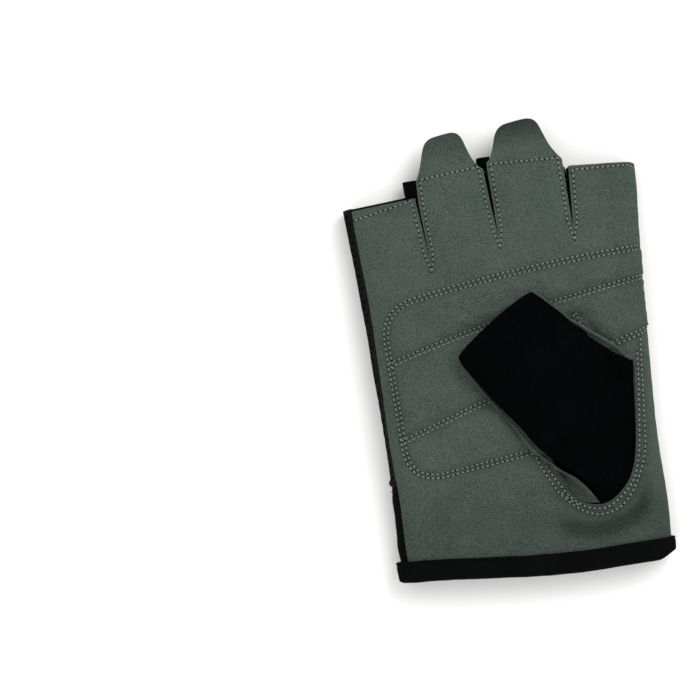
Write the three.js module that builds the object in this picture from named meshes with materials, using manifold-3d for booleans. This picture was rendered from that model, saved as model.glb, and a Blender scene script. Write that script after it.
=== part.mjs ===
// A fingerless weightlifting glove for the right hand, lying palm up on a table.
// Millimetres. +Z is up, +Y runs to the fingertips, and the thumb side is +X.
// The origin is on the table, under the middle of the palm.
import * as THREE from "three";
import { mergeVertices } from "three/addons/utils/BufferGeometryUtils.js";
import Module from "manifold-3d";

const wasm = await Module();
wasm.setup();

// Driving sizes of the hand part
const WRIST_WIDTH = 101;
const PALM_LENGTH = 122; // from the wrist hem to the knuckle line
const PALM_HEIGHT = 16.4; // of the empty glove as it lies, without the pads
const WRIST_DROP = 4.2; // how much longer the hem is on the thumb side
const SIDE_TOP_RADIUS = 9;
const SIDE_BOTTOM_RADIUS = 8;

// Driving sizes of the cloth
const PALM_WALL = 1.8; // suede with its lining
const BACK_WALL = 1.6; // spacer mesh
const WRIST_BACK_WALL = 1.6; // smooth stretch cloth
const FOURCHETTE_WALL = 1.1;
const TAB_WALL = 1.6;
const THUMB_BACK_WALL = 1.6;
const THUMB_FRONT_WALL = 1.2;
const BINDING_WALL = 1;
const SEAM_GAP = 0.3; // what two pieces keep between them
const PAD_RISE = 2.2; // how far the foam lifts the suede

// The fingers from the little finger to the index finger. Width is the palm face's at its end,
// length runs from the knuckle line to the middle of that end, tilt is the rise from left to right,
// past is how far the mesh shows beyond the suede, and tab is the length of a pull tab.
const FINGERS = [
  { name: "little", width: 27, length: 19.2, tilt: 2.8, past: 0.9 },
  { name: "ring", width: 25, length: 27.4, tilt: 1.2, past: 0.3, tab: 16.6 },
  { name: "middle", width: 27.7, length: 29.2, tilt: -2.2, past: 0.3, tab: 16.4 },
  { name: "index", width: 24.4, length: 24.4, tilt: -1.8, past: -0.3 },
];
// The slits between them. Depth is how far each one's crotch lies under the knuckle line, gap its
// width at the finger ends, and lean how far the crotch stands to the right of that.
const SLITS = [
  { depth: 4, gap: 0.9, lean: 2 },
  { depth: -1.5, gap: 1.5, lean: 1.7 },
  { depth: -0.8, gap: 1.8, lean: -0.3 },
];
const HEM_INSET = 1.6; // from a cut edge to its row of stitches
const TAB_DROOP = 3.3; // how far the tip of a pull tab hangs down
const FINGER_ROUNDING = 1.5; // how far a finger's face falls towards its slits
const ROUNDING_REACH = 8; // how far from a slit that begins
const CORNER_CUT = 2; // off the index finger's outer corner
const FOURCHETTE_SEAM = 1.6; // from a slit's edge to the fourchette sewn under it
const FOURCHETTE_BELLY = 0.9; // how far it bellies into the slit
const FOURCHETTE_BULGE = 4.6; // and where it stands free past the shorter finger

// The thumb stall and the hole it comes out of
const HOLE_LENGTH = 67.5;
const HOLE_WIDTH = 36;
const THUMB_WIDTH = 35.2;
const THUMB_REACH = 49; // from the middle of the hole to the middle of the stall's mouth
const THUMB_AIM = 131.5; // degrees from +X
const THUMB_MOUTH_TURN = 36.4; // degrees from +X
const THUMB_HEIGHT = 9; // over the palm at its mouth
const THUMB_TUCK = 1.8; // what is sewn under the suede round the hole
const STALL_ROOT_INSET = 1.3; // how far inside the hole the stall's suede face begins
const STALL_BOW = 2.5; // how far its side seams bow in between the hole and the mouth
const STALL_SEAM_RISE = THUMB_FRONT_WALL + 2; // how far those seams stand over the palm
const STALL_RISES_BY = 0.42; // share of its length in which it has come up out of the hole
const STALL_FULLNESS = 0.55; // power of its arch: less is squarer
const VALLEY_BRIDGE = 3; // how near a sewn line the stall still lies on the pads beside it

// The binding round the wrist
const BINDING_WIDTH = 8;
const BINDING_COVER = 5; // how far it laps over the edge that it binds
const BINDING_GAP = 0.45; // the room between the band and the cloth in it
const BINDING_ROUND = 1.4; // how far up the band its rounded fold goes

const WRIST_BACK_LENGTH = 39; // of the smooth cloth at the back of the wrist

// Shares of the sizes above
const ORIGIN_SHARE = 0.643; // where the origin lies between hem and knuckles
const SIDE_SHARE = 0.42; // height of the widest line, as a share of the glove's
const KNUCKLE_HALF = (sum(FINGERS, "width") + sum(SLITS, "gap")) / 2;
const WRIST_Y = -PALM_LENGTH * ORIGIN_SHARE;
const KNUCKLE_Y = WRIST_Y + PALM_LENGTH;
const TOP_SHARE = 1 + (Math.max(...FINGERS.map(({ length }) => length)) + HEM_INSET * 2) / PALM_LENGTH;
const SEAM_LEFT = 48; // degrees up from the widest line, where the mesh meets the suede
const SEAM_RIGHT = 52; // degrees down from it, where the suede meets the mesh

// The body's form along the hand. At is a share of the palm's length from the hem, width goes from
// the wrist's half width at 0 to the knuckles' at 1, and height is a share of the palm's height.
const SECTIONS = [
  { at: 0, width: -0.35, height: 0.83 },
  { at: 0.14, width: -0.08, height: 0.85 },
  { at: 0.32, width: -0.22, height: 0.94 },
  { at: 0.45, width: -0.2, height: 0.99 },
  { at: 0.64, width: 0.05, height: 1 },
  { at: 0.85, width: 0.33, height: 0.98 },
  { at: 1, width: 0.66, height: 0.91 },
  { at: 1.16, width: 0.98, height: 0.85 },
  { at: 1.3, width: 1, height: 0.83 },
];

// The sewn lines across the palm's pads, as shares of the palm's length up from the hem at the
// middle of the hand, and their slope and bow over the half width.
const QUILT_LINES = [
  { at: 0.905, slope: 0.052, bow: -0.02 },
  { at: 0.776, slope: 0.096, bow: -0.021 },
  { at: 0.567, slope: 0.141, bow: -0.007 },
  { at: 0.369, slope: 0.058, bow: 0 },
];
const QUILT_LEFT = -0.865; // share of the half width
const QUILT_SHOULDER = 5; // how far from a seam the pad is at its full height
const QUILT_CORNERS = [7, 11]; // radii at the top and bottom of the little finger's side

// Soft dents and folds in the palm's cloth. Across is a share of the half width, along of the palm's
// length from the hem, turn is in degrees, long and wide are shares of the half width, and rise is
// a share of the wall.
const FOLDS = [
  { name: "ridge under the thumb", across: 0.66, along: 0.155, turn: 28, long: 0.3, wide: 0.055, rise: 0.75 },
  { name: "valley by the ridge", across: 0.72, along: 0.105, turn: 30, long: 0.34, wide: 0.06, rise: -0.6 },
  { name: "hollow of the wrist", across: -0.35, along: 0.2, turn: 12, long: 0.5, wide: 0.13, rise: -0.45 },
  { name: "hollow at the hem", across: 0.15, along: 0.13, turn: -8, long: 0.4, wide: 0.09, rise: -0.3 },
  { name: "dip by the ring finger", across: -0.2, along: 0.985, turn: 70, long: 0.16, wide: 0.1, rise: -0.3 },
  { name: "dip by the middle finger", across: 0.25, along: 0.97, turn: 100, long: 0.2, wide: 0.12, rise: -0.35 },
];

// The thumb hole's two sides from its foot to its upper corner. Across and along are shares of the
// hole's width and length from its middle.
const HOLE_THUMB_SIDE = [
  { across: -0.08, along: -0.5 },
  { across: 0.2, along: -0.4 },
  { across: 0.375, along: -0.215 },
  { across: 0.44, along: -0.02 },
  { across: 0.485, along: 0.235 },
  { across: 0.455, along: 0.3 },
];
const HOLE_PALM_SIDE = [
  { across: -0.08, along: -0.5 },
  { across: -0.26, along: -0.42 },
  { across: -0.41, along: -0.3 },
  { across: -0.5, along: -0.16 },
  { across: -0.485, along: -0.01 },
  { across: -0.36, along: 0.24 },
  { across: -0.16, along: 0.455 },
  { across: -0.04, along: 0.5 },
  { across: 0.13, along: 0.45 },
  { across: 0.33, along: 0.37 },
  { across: 0.455, along: 0.3 },
];
const HOLE_MIDDLE = { across: 0.515, along: 0.46 }; // of the half width, and of the palm's length

// How much of the mesh each form gets
const CAP_STEPS = 4;
const FINGER_COLUMNS = [0, 0.16, 0.5, 0.84]; // shares of a finger's width
const FOURCHETTE_STEPS = 5;
const STALL_STEPS = 12;
const RING_STEPS = 12;
const BACK_ROW = 0.06; // share of the palm's length
const PALM_ROWS = [-0.04, 0.04, 0.09, 0.13, 0.17, 0.22, 0.28, 0.33]; // and from the hem to the pads
const PAD_ROWS = [0, 0.1, 0.26, 0.5, 0.74, 0.9]; // shares of a pad
const KNUCKLE_ROWS = [0.905, 0.95, 1]; // of the palm's length, past the pads
const TAB_ROW = 0.27; // of a tab's length or width
const FAR = 2 * PALM_LENGTH; // reaches past the whole glove

function sum(rows, column) {
  return rows.reduce((total, row) => total + row[column], 0);
}

function mix(a, b, share) {
  return a + (b - a) * share;
}

function smooth(low, high, value) {
  const share = THREE.MathUtils.clamp((value - low) / (high - low), 0, 1);
  return share * share * (3 - 2 * share);
}

// How high a quarter of an ellipse stands, 0 to 1, at a distance from its foot.
function quarter(distance, radius) {
  const share = 1 - THREE.MathUtils.clamp(distance / radius, 0, 1);
  return Math.sqrt(1 - share * share);
}

// A column of the sections table at any place between its rows, on a smooth curve.
function section(y, column) {
  const at = (y - WRIST_Y) / PALM_LENGTH;
  const last = SECTIONS.length - 1;
  let i = 0;
  while (i < last - 1 && SECTIONS[i + 1].at < at) i++;
  const [a, b, c, d] = [i - 1, i, i + 1, i + 2].map(
    (k) => SECTIONS[THREE.MathUtils.clamp(k, 0, last)],
  );
  const t = THREE.MathUtils.clamp((at - b.at) / (c.at - b.at), 0, 1);
  const rise = (p, q) => (q.at > p.at ? (q[column] - p[column]) / (q.at - p.at) : 0);
  const span = c.at - b.at;
  const [from, to] = [rise(a, c) * span, rise(b, d) * span];
  return (
    b[column] * (2 * t ** 3 - 3 * t ** 2 + 1) +
    from * (t ** 3 - 2 * t ** 2 + t) +
    c[column] * (3 * t ** 2 - 2 * t ** 3) +
    to * (t ** 3 - t ** 2)
  );
}

const halfWidth = (y) => mix(WRIST_WIDTH / 2, KNUCKLE_HALF, section(y, "width"));
const height = (y) => PALM_HEIGHT * section(y, "height");
// The back lifts off the table where the binding goes round it.
const lift = (y) => {
  const edge = WRIST_Y + WRIST_DROP + BINDING_WIDTH;
  return (BINDING_WALL + BINDING_GAP) * (1 - smooth(edge, edge + 2 * BINDING_COVER, y));
};
const hem = (x) => WRIST_Y + WRIST_DROP * (0.5 - 0.5 * Math.sin((Math.PI / 2) * clampShare(x)));
const clampShare = (x) => THREE.MathUtils.clamp(x / KNUCKLE_HALF, -1, 1);

// The line a slit runs on. Under its crotch it keeps its share of the width.
function slitX(i, y) {
  const end = -KNUCKLE_HALF + sum(FINGERS.slice(0, i + 1), "width") + sum(SLITS.slice(0, i), "gap");
  const top = end + SLITS[i].gap / 2;
  const crotch = top + SLITS[i].lean;
  if (y < slitFoot(i)) return (crotch * halfWidth(y)) / halfWidth(slitFoot(i));
  return mix(crotch, top, Math.min(1, slitShare(i, y)));
}
const slitFoot = (i) => KNUCKLE_Y - SLITS[i].depth;
const slitTop = (i) => KNUCKLE_Y + Math.min(FINGERS[i].length, FINGERS[i + 1].length);
const slitShare = (i, y) => (y - slitFoot(i)) / (slitTop(i) - slitFoot(i));
const slitHalf = (i, y) => (SLITS[i].gap / 2) * Math.max(0, slitShare(i, y));

// How far a finger's face has fallen at a point, towards the nearest slit.
function fingerFall(x, y) {
  const falls = SLITS.map((_, i) => {
    const grown = smooth(slitFoot(i) - ROUNDING_REACH, slitFoot(i) + 2 * ROUNDING_REACH, y);
    const near = Math.max(0, 1 - Math.abs(x - slitX(i, y)) / ROUNDING_REACH);
    return FINGER_ROUNDING * grown * near * near;
  });
  return Math.max(...falls);
}

// A sewn line across the palm, at x.
function quiltY(line, x) {
  const share = x / KNUCKLE_HALF;
  return WRIST_Y + PALM_LENGTH * (line.at + line.slope * share + line.bow * share * share);
}

// How far the foam lifts the suede at a point.
function pad(x, y) {
  const side = x - QUILT_LEFT * halfWidth(y);
  const top = quiltY(QUILT_LINES[0], x) - y;
  const foot = y - quiltY(QUILT_LINES[3], x);
  const corner = (along, radius) =>
    side < radius && along < radius
      ? radius - Math.hypot(radius - side, radius - along)
      : Math.min(side, along);
  const edge = Math.min(corner(top, QUILT_CORNERS[0]), corner(foot, QUILT_CORNERS[1]));
  const seam = Math.min(...QUILT_LINES.slice(1, 3).map((line) => Math.abs(y - quiltY(line, x))));
  const right = halfWidth(y) - x;
  const nearest = Math.min(edge, seam, holeDistance(x, y) - THUMB_TUCK, right);
  return PAD_RISE * quarter(nearest, QUILT_SHOULDER);
}

// How far the folds lift or sink the suede at a point, all of them clear of the binding.
function foldRise(x, y) {
  const clear = smooth(0, 2 * BINDING_COVER, y - hem(x) - BINDING_WIDTH);
  return clear * sum(
    FOLDS.map((fold) => {
      const turn = THREE.MathUtils.degToRad(fold.turn);
      const dx = x / KNUCKLE_HALF - fold.across;
      const dy = (y - WRIST_Y - fold.along * PALM_LENGTH) / KNUCKLE_HALF;
      const along = (dx * Math.cos(turn) + dy * Math.sin(turn)) / fold.long;
      const over = (dy * Math.cos(turn) - dx * Math.sin(turn)) / fold.wide;
      return { rise: fold.rise * PALM_WALL * Math.exp(-along * along - over * over) };
    }),
    "rise",
  );
}

// The glove's outer skin. A column is a place round the section: side is -1 or 1 on a rounded side,
// where turn is the angle up from the widest line, and 0 on the flat, where it lies between two of
// the lines that run along the hand.
function columnX(column, y) {
  const half = halfWidth(y);
  const radius = column.face > 0 ? SIDE_TOP_RADIUS : SIDE_BOTTOM_RADIUS;
  if (column.side) return column.side * (half - radius * (1 - Math.cos(column.turn)));
  const lines = [-half + radius, slitX(0, y), slitX(1, y), slitX(2, y), half - radius];
  return mix(lines[column.finger], lines[column.finger + 1], column.share);
}

// The height of the widest line, and of the skin over or under it.
const middleHeight = (y) => mix(lift(y), height(y), SIDE_SHARE);
function faceHeight(x, y, face, up) {
  const far = face > 0 ? height(y) - fingerFall(x, y) : lift(y) + fingerFall(x, y);
  return mix(middleHeight(y), far, up);
}

function skin(column, y) {
  const x = columnX(column, y);
  const up = column.side ? Math.sin(column.turn) : 1;
  return new THREE.Vector3(x, y, faceHeight(x, y, column.face, up));
}

// The palm's skin at any place seen from above, and the underside of its wall.
const palmSkin = (x, y) => faceHeight(x, y, 1, quarter(halfWidth(y) - Math.abs(x), SIDE_TOP_RADIUS));
function underPalm(x, y, depth) {
  const slope = palmSkin(x + 0.5, y) - palmSkin(x - 0.5, y);
  return palmSkin(x, y) - (PALM_WALL + depth) * Math.hypot(1, slope);
}

// The skin's outward normal, from the way it runs round the section and along the hand.
function skinNormal(column, y) {
  const step = 0.01;
  const near = (sign) => {
    if (column.side) return skin({ ...column, turn: column.turn + sign * step }, y);
    return skin({ ...column, share: column.share + sign * step }, y);
  };
  const round = near(1).sub(near(-1));
  const along = skin(column, y + step).sub(skin(column, y - step));
  const normal = round.cross(along).normalize();
  const outward = new THREE.Vector3(column.side * Math.cos(column.turn ?? 0), 0, column.face);
  return normal.dot(outward) < 0 ? normal.negate() : normal;
}

function capColumns(side, face, from, to) {
  const radians = (k) => THREE.MathUtils.degToRad(mix(from, to, k / CAP_STEPS));
  return Array.from({ length: CAP_STEPS + 1 }, (_, k) => ({ side, face, turn: radians(k) }));
}

function flatColumns(face) {
  return FINGERS.flatMap((_, finger) =>
    FINGER_COLUMNS.map((share) => ({ face, side: 0, finger, share })),
  ).slice(1);
}

// Even steps from first to last, none longer than step.
function rowShares(first, last, step) {
  const count = Math.ceil((last - first) / step);
  return Array.from({ length: count + 1 }, (_, k) => mix(first, last, k / count));
}

// Outward normals of a grid of points, whose rows run along the hand.
function gridNormals(points) {
  const at = (i, j) =>
    points[THREE.MathUtils.clamp(i, 0, points.length - 1)][
      THREE.MathUtils.clamp(j, 0, points[0].length - 1)
    ];
  return points.map((row, i) =>
    row.map((_, j) => {
      const along = at(i + 1, j).clone().sub(at(i - 1, j));
      const across = at(i, j + 1).clone().sub(at(i, j - 1));
      return across.cross(along).normalize();
    }),
  );
}

// A closed solid between two grids of points.
function between(outer, inner) {
  const [rows, columns] = [outer.length, outer[0].length];
  const positions = [...outer, ...inner].flat().flatMap((p) => [p.x, p.y, p.z]);
  const index = [];
  const id = (layer, i, j) => (layer * rows + i) * columns + j;
  const quad = (a, b, c, d) => index.push(a, b, c, a, c, d);
  for (let i = 0; i + 1 < rows; i++) {
    for (let j = 0; j + 1 < columns; j++) {
      quad(id(0, i, j), id(0, i, j + 1), id(0, i + 1, j + 1), id(0, i + 1, j));
      quad(id(1, i, j), id(1, i + 1, j), id(1, i + 1, j + 1), id(1, i, j + 1));
    }
    quad(id(0, i, 0), id(0, i + 1, 0), id(1, i + 1, 0), id(1, i, 0));
    quad(id(0, i + 1, columns - 1), id(0, i, columns - 1), id(1, i, columns - 1), id(1, i + 1, columns - 1));
  }
  for (let j = 0; j + 1 < columns; j++) {
    quad(id(0, 0, j + 1), id(0, 0, j), id(1, 0, j), id(1, 0, j + 1));
    quad(id(0, rows - 1, j), id(0, rows - 1, j + 1), id(1, rows - 1, j + 1), id(1, rows - 1, j));
  }
  return solid(positions, index);
}

function solid(positions, index) {
  const made = new wasm.Manifold(
    new wasm.Mesh({
      numProp: 3,
      vertProperties: new Float32Array(positions),
      triVerts: new Uint32Array(index),
    }),
  );
  if (made.volume() > 0) return made;
  for (let i = 0; i < index.length; i += 3) [index[i], index[i + 1]] = [index[i + 1], index[i]];
  return solid(positions, index);
}

// A three.js geometry as a solid.
function solidOf(geometry) {
  const bare = geometry.index ? geometry.toNonIndexed() : geometry.clone();
  bare.deleteAttribute("normal");
  bare.deleteAttribute("uv");
  const merged = mergeVertices(bare, 1e-4);
  return solid([...merged.attributes.position.array], [...merged.index.array]);
}

// A block over an outline seen from above.
function prism(shape, low, high) {
  const geometry = new THREE.ExtrudeGeometry(shape, {
    depth: high - low,
    bevelEnabled: false,
    curveSegments: 8,
  });
  return solidOf(geometry.translate(0, 0, low));
}

// The outline of the hand seen from above, with its slits, from the ends that end(finger) gives. It
// reaches past both sides, where the cloth's own edges are the seams.
function handOutline(end) {
  const shape = new THREE.Shape();
  const side = KNUCKLE_HALF + SIDE_TOP_RADIUS;
  const seat = BINDING_WIDTH - BINDING_COVER + SEAM_GAP;
  shape.moveTo(-side, hem(-side) + seat);
  rowShares(-KNUCKLE_HALF, KNUCKLE_HALF, KNUCKLE_HALF / 5).forEach((x) => shape.lineTo(x, hem(x) + seat));
  shape.lineTo(side, hem(side) + seat);
  for (let i = FINGERS.length - 1; i >= 0; i--) {
    const y = KNUCKLE_Y + end(FINGERS[i]);
    const rise = FINGERS[i].tilt / 2;
    if (i < SLITS.length) {
      shape.lineTo(slitX(i, y) - slitHalf(i, y), y + rise);
    } else {
      shape.lineTo(side, y + rise - side + KNUCKLE_HALF - CORNER_CUT);
      shape.lineTo(KNUCKLE_HALF - CORNER_CUT, y + rise);
    }
    shape.lineTo(i > 0 ? slitX(i - 1, y) + slitHalf(i - 1, y) : -side, y - rise);
    if (i > 0) shape.lineTo(slitX(i - 1, slitFoot(i - 1)), slitFoot(i - 1));
  }
  shape.closePath();
  return shape;
}

// The hole for the thumb.
const holeMiddle = new THREE.Vector2(
  HOLE_MIDDLE.across * KNUCKLE_HALF,
  WRIST_Y + HOLE_MIDDLE.along * PALM_LENGTH,
);
const holeSide = (rows) =>
  new THREE.SplineCurve(
    rows.map((row) =>
      new THREE.Vector2(row.across * HOLE_WIDTH, row.along * HOLE_LENGTH).add(holeMiddle),
    ),
  );
const thumbSide = holeSide(HOLE_THUMB_SIDE);
const palmSide = holeSide(HOLE_PALM_SIDE);
const holeLoop = [
  ...thumbSide.getSpacedPoints(16).slice(0, -1),
  ...palmSide.getSpacedPoints(24).slice(1).reverse(),
];

// The distance from a point to the hole's edge, negative inside it.
function holeDistance(x, y) {
  let nearest = Infinity;
  let inside = false;
  holeLoop.forEach((a, i) => {
    const b = holeLoop[(i + 1) % holeLoop.length];
    const [ex, ey] = [b.x - a.x, b.y - a.y];
    const t = THREE.MathUtils.clamp(((x - a.x) * ex + (y - a.y) * ey) / (ex * ex + ey * ey), 0, 1);
    nearest = Math.min(nearest, Math.hypot(x - a.x - ex * t, y - a.y - ey * t));
    if (a.y > y !== b.y > y && x < a.x + (ex * (y - a.y)) / ey) inside = !inside;
  });
  return inside ? -nearest : nearest;
}

// The palm: one piece of suede from the seam over the little finger's side to the seam under the
// index finger's, with its pads, slits, thumb hole and folds.
function palmPanel() {
  const columns = [
    ...capColumns(-1, 1, SEAM_LEFT, 90),
    ...flatColumns(1),
    ...capColumns(1, 1, 90, 0),
    ...capColumns(1, -1, 0, SEAM_RIGHT).slice(1),
  ];
  const shares = [...palmRows(), ...rowShares(1.05, TOP_SHARE, BACK_ROW)];
  const base = shares.map((share) => columns.map((column) => skin(column, slantedY(share, column))));
  const raised = (p) => pad(p.x, p.y) + foldRise(p.x, p.y);
  const moved = (distance) =>
    base.map((row) =>
      row.map((p, j) => offset(p, skinNormal(columns[j], p.y), distance(columns[j], p))),
    );
  const outer = moved((column, p) => (column.face > 0 ? raised(p) : 0));
  const inner = moved(() => -PALM_WALL);
  const outline = handOutline(({ length, tab }) => (tab ? length - HEM_INSET : length));
  return between(outer, inner)
    .intersect(prism(outline, -FAR, FAR))
    .subtract(prism(new THREE.Shape(holeLoop), height(0) / 2, FAR));
}

const offset = (point, normal, distance) => point.clone().addScaledVector(normal, distance);

// Rows of the palm's grid, on the sewn lines and between them.
function palmRows() {
  const lines = QUILT_LINES.map((line) => line.at).reverse();
  const pads = lines.slice(1).flatMap((line, i) => PAD_ROWS.map((share) => mix(lines[i], line, share)));
  return [...PALM_ROWS, ...pads, ...KNUCKLE_ROWS];
}

// The rows lean with the sewn lines that they lie between.
function slantedY(share, column) {
  const lines = [...QUILT_LINES].reverse();
  const ends = [{ at: 0, slope: 0, bow: 0 }, ...lines, { at: 1.1, slope: 0, bow: 0 }];
  let i = 0;
  while (i < ends.length - 2 && ends[i + 1].at <= share) i++;
  const t = THREE.MathUtils.clamp((share - ends[i].at) / (ends[i + 1].at - ends[i].at), 0, 1);
  const flat = WRIST_Y + share * PALM_LENGTH;
  const across = clampShare(columnX(column, flat));
  const slope = mix(ends[i].slope, ends[i + 1].slope, t);
  const bow = mix(ends[i].bow, ends[i + 1].bow, t);
  return flat + PALM_LENGTH * (slope * across + bow * across * across);
}

// The back: everything from the seam on the little finger's side, round it and over the table.
function backColumns() {
  const gap = THREE.MathUtils.radToDeg(SEAM_GAP / (SIDE_BOTTOM_RADIUS - PALM_WALL));
  return [
    ...capColumns(-1, 1, SEAM_LEFT - gap, 0),
    ...capColumns(-1, -1, 0, 90).slice(1),
    ...flatColumns(-1),
    ...capColumns(1, -1, 90, SEAM_RIGHT + gap),
  ];
}

function backPanel(wall, first, last) {
  const rows = rowShares(first, last, BACK_ROW).map((share) => WRIST_Y + share * PALM_LENGTH);
  const columns = backColumns();
  const grid = (distance) =>
    rows.map((y) => columns.map((column) => offset(skin(column, y), skinNormal(column, y), distance)));
  const outline = handOutline(({ length, past }) => length + past);
  return between(grid(0), grid(-wall)).intersect(prism(outline, -FAR, FAR));
}

const seamShare = (gap) => (WRIST_BACK_LENGTH + gap) / PALM_LENGTH;
const backMeshPanel = () => backPanel(BACK_WALL, seamShare(SEAM_GAP), TOP_SHARE);
const wristBackPanel = () => backPanel(WRIST_BACK_WALL, 0, seamShare(0));

// A fourchette: the wall between two fingers, folded round their crotch. Its edges keep clear of the
// suede over it and the mesh under it, and it bulges where it stands free past the shorter finger.
function fourchette(i) {
  const foot = slitFoot(i);
  const arm = (side) => {
    const finger = FINGERS[side < 0 ? i : i + 1];
    const end = KNUCKLE_Y + finger.length - (side * finger.tilt) / 2 - HEM_INSET / 2;
    const shares = rowShares(0, 1, 1 / FOURCHETTE_STEPS);
    return shares.map((share) => ({ side, y: mix(foot + FOURCHETTE_WALL, end, share) }));
  };
  const bend = [-0.6, 0.6].map((side) => ({ side, y: foot - FOURCHETTE_WALL }));
  const path = [...arm(-1).reverse(), ...bend, ...arm(1)];
  const middle = path.map(({ side, y }) =>
    rowShares(0, 1, 0.25).map((level) => {
      const free = smooth(slitTop(i) - SEAM_GAP, slitTop(i) + FOURCHETTE_BULGE, y);
      const belly = Math.sin(Math.PI * level) * mix(FOURCHETTE_BELLY, FOURCHETTE_BULGE, free);
      const inset = slitHalf(i, y) + FOURCHETTE_SEAM + FOURCHETTE_WALL / 2 - belly;
      const x = slitX(i, y) + side * inset;
      const clear = 2 * SEAM_GAP + FINGER_ROUNDING / 4;
      const low = lift(y) + fingerFall(x, y) + BACK_WALL + clear;
      const high = height(y) - fingerFall(x, y) - PALM_WALL - clear;
      return new THREE.Vector3(x, y, mix(low, high, level));
    }),
  );
  const normals = gridNormals(middle);
  const side = (sign) =>
    middle.map((row, a) => row.map((p, b) => offset(p, normals[a][b], (sign * FOURCHETTE_WALL) / 2)));
  return between(side(1), side(-1));
}

// A pull tab: a tongue of suede that goes on from the stitches at a finger's end.
function pullTab(i) {
  const finger = FINGERS[i];
  const joint = KNUCKLE_Y + finger.length - HEM_INSET + SEAM_GAP;
  const left = slitX(i - 1, joint) + slitHalf(i - 1, joint);
  const right = slitX(i, joint) - slitHalf(i, joint);
  const at = (across, along) => [mix(left, right, across), joint + along * finger.tab];
  const tilt = finger.tilt / 2 / finger.tab;
  const shape = new THREE.Shape();
  shape.moveTo(...at(0, -tilt));
  shape.lineTo(...at(0, 0.05 - tilt));
  shape.bezierCurveTo(...at(0.12, 0.16), ...at(0.1, 0.3), ...at(0.14, 0.55));
  shape.bezierCurveTo(...at(0.17, 0.78), ...at(0.2, 0.93), ...at(0.38, 0.96));
  shape.lineTo(...at(0.56, 1));
  shape.bezierCurveTo(...at(0.72, 1.02), ...at(0.74, 0.86), ...at(0.78, 0.68));
  shape.bezierCurveTo(...at(0.84, 0.4), ...at(0.88, 0.24), ...at(1, 0.07 + tilt));
  shape.lineTo(...at(1, tilt));
  shape.closePath();
  const top = rowShares(-0.3, 1.2, TAB_ROW).map((along) =>
    rowShares(-0.1, 1.1, TAB_ROW).map((across) => {
      const [x, y] = at(across, along);
      const droop = TAB_DROOP * Math.max(0, along) ** 2.2;
      return new THREE.Vector3(x, y, height(y) - fingerFall(x, y) - droop);
    }),
  );
  const under = top.map((row) => row.map((p) => new THREE.Vector3(p.x, p.y, p.z - TAB_WALL)));
  return between(top, under).intersect(prism(shape, -FAR, FAR));
}

// What the thumb stall lies on: the palm's outer face, with its sewn valleys bridged.
function palmTop(x, y) {
  const around = [-VALLEY_BRIDGE, 0, VALLEY_BRIDGE];
  const pads = around.flatMap((dx) => around.map((dy) => pad(x + dx, y + dy)));
  return palmSkin(x, y) + Math.max(...pads) + Math.max(0, foldRise(x, y));
}

const thumbAim = THREE.MathUtils.degToRad(THUMB_AIM);
const mouthTurn = THREE.MathUtils.degToRad(THUMB_MOUTH_TURN);
const mouthMiddle = new THREE.Vector2(Math.cos(thumbAim), Math.sin(thumbAim))
  .multiplyScalar(THUMB_REACH)
  .add(holeMiddle);

// A point of the stall's mouth, seen from above, from its lower corner at 0 to its upper at 1.
const mouthPoint = (share) =>
  new THREE.Vector2(Math.cos(mouthTurn), Math.sin(mouthTurn))
    .multiplyScalar((share - 0.5) * THUMB_WIDTH)
    .add(mouthMiddle);

// A point of the hole's edge, moved into the hole, or out of it where inset is negative.
function holePoint(curve, share, inset) {
  const point = curve.getPointAt(THREE.MathUtils.clamp(share, 0, 1));
  const toMiddle = holeMiddle.clone().sub(point).normalize();
  const tangent = curve.getTangentAt(THREE.MathUtils.clamp(share, 0, 1));
  const normal = new THREE.Vector2(-tangent.y, tangent.x);
  if (normal.dot(toMiddle) < 0) normal.negate();
  return point.addScaledVector(normal, inset);
}

// Points of the stall's faces, in rows from the hole to the mouth and from seam to seam.
const stallRows = rowShares(0, 1, 1 / STALL_STEPS).map((share) => share ** 1.25);
const stallGrid = (from, to, point) =>
  stallRows.map((share) => rowShares(from, to, 1 / RING_STEPS).map((round) => point(share, round)));

// The black face of the stall: tucked under the suede on the thumb's side of the hole, and lying
// over the palm to the mouth.
function thumbBack() {
  const grid = () =>
    stallGrid(0.015, 0.985, (share, round) => {
      const side = Math.sin(Math.PI * round);
      const tuck = (THUMB_TUCK + STALL_ROOT_INSET) * side ** 0.3;
      const root = holePoint(thumbSide, round, STALL_ROOT_INSET - tuck);
      const end = mouthPoint(mix((1 - Math.cos(Math.PI * round)) / 2, round, 0.45));
      const bow = 4 * share * (1 - share) * STALL_BOW * (round - 0.5) * 2;
      const plan = root.lerp(end, share);
      plan.x -= bow * Math.cos(mouthTurn);
      plan.y -= bow * Math.sin(mouthTurn);
      const seam = palmTop(plan.x, plan.y) + 2 * SEAM_GAP + STALL_SEAM_RISE;
      const arch = (THUMB_HEIGHT - STALL_SEAM_RISE) * side ** STALL_FULLNESS * smooth(-0.1, 0.75, share);
      const tucked = underPalm(plan.x, plan.y, 2 * SEAM_GAP);
      const risen = smooth(THUMB_TUCK / THUMB_REACH, STALL_RISES_BY, share);
      return new THREE.Vector3(plan.x, plan.y, mix(tucked, seam + arch, risen));
    });
  const outer = grid();
  const normals = gridNormals(outer);
  const inward = normals[STALL_STEPS / 2][RING_STEPS / 2].z > 0 ? -1 : 1;
  const depth = inward * THUMB_BACK_WALL;
  return between(outer, outer.map((row, i) => row.map((p, j) => offset(p, normals[i][j], depth))));
}

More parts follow.
